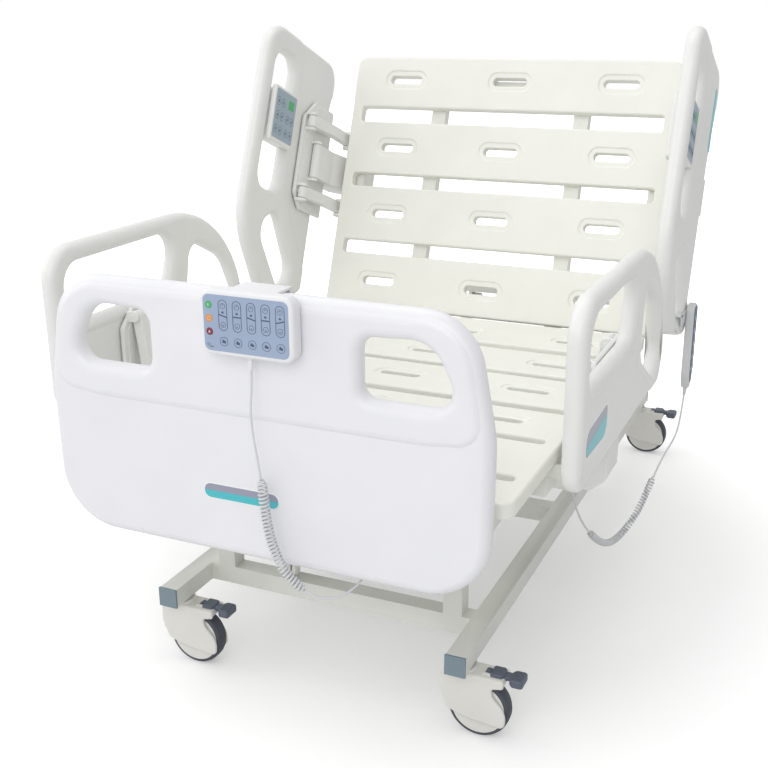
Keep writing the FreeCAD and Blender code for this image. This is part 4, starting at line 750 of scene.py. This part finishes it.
class BED_OT_nurse_control(bpy.types.Operator):
    """The attendant's control: white case hooked over the board, blue-grey membrane and its keys"""
    bl_idname = "bed.nurse_control"
    bl_label = "Attendant's control"

    def execute(self, context):
        looks = finishes()
        front = -(BOARD_FRONT - 0.0003)
        case = [(-73, 793, 20), (106, 793, 20), (106, 905, 20), (-73, 905, 20)]
        parts = [slab([case], 0.029, 0.006, FRONT_VIEW, front + 0.0145)]
        back = BOARD_FRONT + BOARD_THICK
        # The hook goes over the board's top edge and down behind it
        for low, high in (
                ((-0.0285, BOARD_FRONT - 0.006, 0.8983), (0.0615, back + 0.006, 0.904)),
                ((-0.0285, back + 0.0003, 0.872), (0.0615, back + 0.006, 0.903))):
            parts.append(rounded_box(low, high, 0.0018))
        parts.append(turned(RIBBED_RELIEF, Matrix.Translation((0.016, -0.982, 0.793)), 24))
        piece("control_case", parts, looks["nurse_frame"], "nurse_control", ["nurse_control"])
        face = front + 0.029
        membrane = [(-64, 801, 11), (97, 801, 11), (97, 898, 11), (-64, 898, 11)]
        piece(
            "control_membrane", [slab([membrane], 0.0014, 0.0004, FRONT_VIEW, face)], looks["membrane"],
            "nurse_control")
        for look, z in (("green_key", 880), ("orange_key", 857), ("maroon_key", 834)):
            piece(
                f"control_{look}", [slab([oblong(-53, z, 13, 12.9)], 0.0030, 0.0008, FRONT_VIEW, face, 8)],
                looks[look], "nurse_control")

        def mark(loop, thick=0.0024, soft=0.0002, smooth=3):
            return slab([loop], thick, soft, FRONT_VIEW, face, smooth)

        def bead(loop, wide, high, smooth):
            return lip(loop, wide, high, FRONT_VIEW, face, smooth)

        lights = [
            mark(oblong(-53, 880, 1.6, 5), 0.0038, 0.0003, 4),
            bead(oblong(-53, 857, 6, 5.9), 0.0006, 0.0020, 6),
            mark([(-55, 832, 0.4), (-51, 832, 0.4), (-53, 837, 0.4)], 0.0038, 0.0003)]
        piece("control_key_lights", lights, looks["pale_key"], "nurse_control")
        marks = [
            bead(oblong(-56, 812, 5, 2.5), 0.0004, 0.0012, 4), mark(oblong(-51, 808, 9, 1.4), 0.0022, 0.0003)]
        for column, lean in enumerate((-2, 0, -2, 0, 2)):
            x = -26 + 27 * column
            pill = [(x - 8, 838, 7.6), (x + 8, 838, 7.6), (x + 8, 890, 7.6), (x - 8, 890, 7.6)]
            marks.append(bead(pill, 0.0006, 0.0013, 8))
            marks.append(bead(oblong(x, 819, 15, 14.9), 0.0005, 0.0012, 8))
            for z, lift in ((880, 3), (848, -3)):
                marks.append(bead(oblong(x, z, 9, 8.9), 0.0004, 0.0012, 6))
                marks.append(mark([
                    (x - 3, z - lift / 2, 0.3), (x, z + lift / 2, 0.3), (x + 3, z - lift / 2, 0.3),
                    (x, z + lift, 0.3)]))
            marks.append(mark([
                (x - 7.5, 862 - lean, 0.4), (x + 7.5, 862 + lean, 0.4), (x + 7.5, 864 + lean, 0.4),
                (x - 7.5, 864 - lean, 0.4)]))
            marks.append(mark(oblong(x, 869, 4.5, 3.6), 0.0022))
            icon = [(x - 4, 817, 1), (x + 3, 815.5, 1), (x + 4.5, 819, 1), (x - 2, 823, 1)]
            marks.append(mark(icon, 0.0022, 0.0003))
        piece("control_key_marks", marks, looks["dark_key"], "nurse_control")
        return {"FINISHED"}


# Patient's handset

class BED_OT_handset(bpy.types.Operator):
    """The handset with its key field, hooked on the right head rail"""
    bl_idname = "bed.handset"
    bl_label = "Handset"

    def execute(self, context):
        looks = finishes()
        outer = RAIL_INNER + RAIL_THICK
        case = [(159, 455, 6), (177, 455, 6), (190, 493, 34), (194, 668, 16), (142, 668, 16), (146, 493, 34)]
        parts = [slab([case], 0.020, 0.0055, SIDE_VIEW, outer + 0.013)]
        # The hook: a back plate, a bridge through the rail's opening and a tongue behind the rail
        for low, high in (
                ((outer + 0.0003, 0.092, 0.6257), (outer + 0.003, 0.168, 0.6557)),
                ((RAIL_INNER - 0.003, 0.092, 0.6497), (outer + 0.003, 0.108, 0.6557)),
                ((RAIL_INNER - 0.003, 0.092, 0.6317), (RAIL_INNER - 0.0005, 0.108, 0.6557))):
            parts.append(rounded_box(low, high, 0.0009, 2))
        parts.append(turned(
            [(0.0, -0.020), (0.0031, -0.020), (0.0036, -0.016), (0.0043, -0.008), (0.005, 0.0), (0.0, 0.001)],
            Matrix.Translation((0.561, 0.168, 0.455)) @ Matrix.Rotation(math.radians(-25), 4, "X"), 24))
        piece("handset_case", parts, looks["handset"], "handset", ["handset"])
        shield = [
            (161, 470, 5), (175, 470, 5), (185, 496, 34), (189, 663, 12), (147, 663, 12), (151, 496, 34)]
        piece(
            "handset_face", [slab([shield], 0.0044, 0.002, SIDE_VIEW, outer + 0.0222)],
            looks["handset_face"], "handset")
        keys = [
            slab([oblong(y, 508 + 32 * row, 14, 13.9)], 0.0024, 0.0006, SIDE_VIEW, outer + 0.0242, 6)
            for row in range(5) for y in (158, 178)]
        piece("handset_keys", keys, looks["membrane"], "handset")
        return {"FINISHED"}


# Cords: the routes' corners in metres, as the solids have them

NURSE_LEAD = [
    (16, -982, 771), (16, -982, 742), (16, -992, 700), (20, -992, 655), (25, -990, 615), (30, -990, 580)]
NURSE_COIL = [
    (30, -990, 580), (34, -990, 552), (38, -992, 510), (45, -992, 470), (55, -990, 437), (68, -988, 410),
    (88, -986, 388), (108, -984, 376)]
NURSE_TAIL = [
    (108, -984, 376), (122, -982.6, 367.6), (144, -974, 362), (166, -957, 364), (182, -934, 375),
    (193, -910, 391), (200, -888, 412), (200, -875, 433), (200, -875, 453)]
HANDSET_LEAD = [
    (561, 159.294, 436.33), (561, 147.461, 410.953), (561, 128, 384), (561, 100, 362), (558, 54, 350),
    (553, 8, 343), (547, -44, 327), (541, -72, 306)]
HANDSET_COIL = [
    (541, -72, 306), (535.6, -97.2, 287.1), (526, -110, 254), (514, -116, 222), (500, -132, 196),
    (487, -168, 182), (478, -216, 188), (471, -268, 212), (464, -312, 242), (458, -340, 268)]
HANDSET_TAIL = [
    (458, -340, 268), (453.2, -362.4, 288.8), (444, -380, 318), (434, -389, 352), (424, -391, 386),
    (415, -390, 424), (415, -390, 453)]


def route_curve(name, points, bevel=0.0):
    """A smooth curve with the route's points, in millimetres, as its control points."""
    curve = bpy.data.curves.new(name, "CURVE")
    curve.dimensions = "3D"
    curve.resolution_u = 8
    curve.bevel_depth = bevel
    curve.bevel_resolution = 3
    curve.use_fill_caps = True
    spline = curve.splines.new("NURBS")
    spline.points.add(len(points) - 1)
    for point, place in zip(spline.points, points):
        point.co = (*(part / 1000 for part in place), 1)
    spline.order_u = 3
    spline.use_endpoint_u = True
    return curve


def route_samples(points):
    """Points along the route's smooth curve, in metres."""
    curve = route_curve("route", points)
    holder = bpy.data.objects.new("route", curve)
    bpy.context.scene.collection.objects.link(holder)
    mesh = bpy.data.meshes.new_from_object(holder)
    samples = [vertex.co.copy() for vertex in mesh.vertices]
    bpy.data.objects.remove(holder)
    bpy.data.meshes.remove(mesh)
    return samples


def helix(samples, radius, pitch, steps=12):
    """Points of a helix wound round the sampled line, as tight as the pitch says."""
    lengths = [0.0]
    for a, b in zip(samples, samples[1:]):
        lengths.append(lengths[-1] + (b - a).length)
    total = lengths[-1]
    turns = round(total / pitch)
    count = turns * steps
    side = Vector((1, 0, 0))
    places = []
    index = 0
    for i in range(count + 1):
        along = total * i / count
        while index < len(lengths) - 2 and lengths[index + 1] < along:
            index += 1
        share = (along - lengths[index]) / (lengths[index + 1] - lengths[index])
        here = samples[index].lerp(samples[index + 1], share)
        way = (samples[index + 1] - samples[index]).normalized()
        side = (side - way * side.dot(way)).normalized()
        up = way.cross(side)
        turn = math.tau * i / steps
        swell = min(1.0, i / (1.5 * steps), (count - i) / (1.5 * steps))
        places.append(here + (side * math.cos(turn) + up * math.sin(turn)) * radius * swell)
    return places


class BED_OT_cords(bpy.types.Operator):
    """The two curly cords with their straight ends"""
    bl_idname = "bed.cords"
    bl_label = "Cords"

    def execute(self, context):
        looks = finishes()
        self.cord("nurse", NURSE_LEAD, NURSE_COIL, NURSE_TAIL, 0.0098, 0.0070, looks)
        self.cord("handset", HANDSET_LEAD, HANDSET_COIL, HANDSET_TAIL, 0.0084, 0.0074, looks)
        return {"FINISHED"}

    def cord(self, name, lead, coil, tail, outer, pitch, looks):
        """One cord from its control to its gland: a straight lead, a wound coil and a straight tail."""
        thick = 0.0021
        wound = helix(route_samples(coil), outer - thick, pitch)
        places = [*lead[:-1], *(tuple(place * 1000) for place in wound), *tail[1:]]
        curve = route_curve(f"{name}_curly_cord", places, thick)
        curve.resolution_u = 3
        curve.bevel_resolution = 2
        obj = bpy.data.objects.new(f"{name}_curly_cord", curve)
        bpy.context.scene.collection.objects.link(obj)
        curve.materials.append(looks["cord"])
        samples = route_samples(places)
        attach(obj, "platform")
        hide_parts(f"{name}_cord_leads", f"{name}_cord_coil")


# Stage

class BED_OT_stage(bpy.types.Operator):
    """Camera at the photograph's viewing angle, soft lamps, pale floor and plain world"""
    bl_idname = "bed.stage"
    bl_label = "Stage"

    # The camera that fits the photograph, and each lamp's name, place, aim, size and power
    EYE = (0.9385, -2.5, 1.3376)
    LENS = 51.83
    PAN, TILT, ROLL = math.radians(24.098), math.radians(90 - 18.588), math.radians(-0.269)
    LAMPS = (
        ("key", (0.6, -4.4, 3.4), (0, 0, 0.5), 3.2, 60), ("fill", (-3.8, -1.6, 2.4), (0, 0, 0.5), 3.2, 22),
        ("top", (-0.2, 0.4, 4.8), (0, 0, 0.4), 3.6, 40))

    def execute(self, context):
        scene = context.scene
        scene.view_settings.view_transform = "Standard"
        camera = bpy.data.cameras.new("camera")
        camera.lens = self.LENS
        camera.sensor_width = 36
        camera.clip_end = 60
        eye = bpy.data.objects.new("camera", camera)
        scene.collection.objects.link(eye)
        turn = (
            Matrix.Rotation(self.PAN, 4, "Z") @ Matrix.Rotation(self.TILT, 4, "X")
            @ Matrix.Rotation(self.ROLL, 4, "Z"))
        eye.matrix_world = Matrix.Translation(self.EYE) @ turn
        scene.camera = eye
        bm = bmesh.new()
        bmesh.ops.create_grid(bm, x_segments=2, y_segments=2, size=14)
        mesh = bpy.data.meshes.new("floor")
        bm.to_mesh(mesh)
        bm.free()
        floor = bpy.data.objects.new("floor", mesh)
        scene.collection.objects.link(floor)
        mesh.materials.append(self.floor_material())
        self.world(scene)
        for name, place, aim, size, power in self.LAMPS:
            light = bpy.data.lights.new(name, "AREA")
            light.size = size
            light.energy = power
            lamp = bpy.data.objects.new(name, light)
            scene.collection.objects.link(lamp)
            way = Vector(aim) - Vector(place)
            lamp.matrix_world = Matrix.Translation(place) @ way.to_track_quat("-Z", "Y").to_matrix().to_4x4()
        return {"FINISHED"}

    def floor_material(self):
        """White to the camera with the bed's shadow and painted shade round the bed, pale grey to everything
        else.
        """
        material = bpy.data.materials.new("floor")
        material.use_nodes = True
        nodes, links = material.node_tree.nodes, material.node_tree.links
        nodes.clear()
        output = nodes.new("ShaderNodeOutputMaterial")
        plain = nodes.new("ShaderNodeBsdfDiffuse")
        plain.inputs["Color"].default_value = (0.80, 0.80, 0.80, 1)
        # The glow is weak near the bed, which paints shade round it, and grows with the distance from the
        # bed, so that the floor ends in white
        place = nodes.new("ShaderNodeTexCoord")
        reach = nodes.new("ShaderNodeVectorMath")
        reach.operation = "LENGTH"
        painted_shade_to_white_rise = map_range(nodes, 0.7, 2.6, 0.22, 1.0)
        painted_shade_and_white_glow = nodes.new("ShaderNodeEmission")
        both = nodes.new("ShaderNodeAddShader")
        links.new(place.outputs["Object"], reach.inputs[0])
        links.new(reach.outputs["Value"], painted_shade_to_white_rise.inputs["Value"])
        links.new(painted_shade_to_white_rise.outputs["Result"], painted_shade_and_white_glow.inputs["Strength"])
        links.new(plain.outputs[0], both.inputs[0])
        links.new(painted_shade_and_white_glow.outputs[0], both.inputs[1])
        camera_switch(nodes, links, plain, both, output)
        return material

    def world(self, scene):
        """White to the camera, soft studio light to everything else."""
        world = bpy.data.worlds.new("studio")
        scene.world = world
        world.use_nodes = True
        nodes, links = world.node_tree.nodes, world.node_tree.links
        nodes.clear()
        output = nodes.new("ShaderNodeOutputWorld")
        soft = nodes.new("ShaderNodeBackground")
        soft.inputs["Color"].default_value = (1.0, 1.0, 1.0, 1)
        # The studio is brighter to the left of the bed than to its right
        way = nodes.new("ShaderNodeTexCoord")
        split = nodes.new("ShaderNodeSeparateXYZ")
        side = map_range(nodes, -1.0, 1.0, 1.02, 0.50)
        links.new(way.outputs["Generated"], split.inputs[0])
        links.new(split.outputs["X"], side.inputs["Value"])
        links.new(side.outputs["Result"], soft.inputs["Strength"])
        seen = nodes.new("ShaderNodeBackground")
        seen.inputs["Color"].default_value = (1, 1, 1, 1)
        seen.inputs["Strength"].default_value = 1.0
        camera_switch(nodes, links, soft, seen, output)


class BED_PT_panel(bpy.types.Panel):
    """Lists the bed's sizes, finishes and pieces"""
    bl_label = "Ward Bed"
    bl_idname = "BED_PT_panel"
    bl_space_type = "VIEW_3D"
    bl_region_type = "UI"
    bl_category = "Ward Bed"

    def draw(self, context):
        layout = self.layout
        for group in (context.scene.bed_sizes, context.scene.bed_finish):
            box = layout.box()
            for name in group.__annotations__:
                box.prop(group, name)
        for operator in OPERATORS:
            layout.operator(operator.bl_idname)


OPERATORS = (
    BED_OT_stage, BED_OT_finishes, BED_OT_cords, BED_OT_deck, BED_OT_rails, BED_OT_rail_mounts,
    BED_OT_rail_labels, BED_OT_footboard, BED_OT_nurse_control, BED_OT_handset, BED_OT_castors,
)
CLASSES = (BedFinish, BedSizes, *OPERATORS, BED_PT_panel)


def register():
    for cls in CLASSES:
        bpy.utils.register_class(cls)
    bpy.types.Scene.bed_finish = PointerProperty(type=BedFinish)
    bpy.types.Scene.bed_sizes = PointerProperty(type=BedSizes)


def unregister():
    del bpy.types.Scene.bed_sizes
    del bpy.types.Scene.bed_finish
    for cls in reversed(CLASSES):
        bpy.utils.unregister_class(cls)


def main():
    register()
    for operator in OPERATORS:
        group, name = operator.bl_idname.split(".")
        getattr(getattr(bpy.ops, group), name)()


if __name__ == "__main__":
    main()
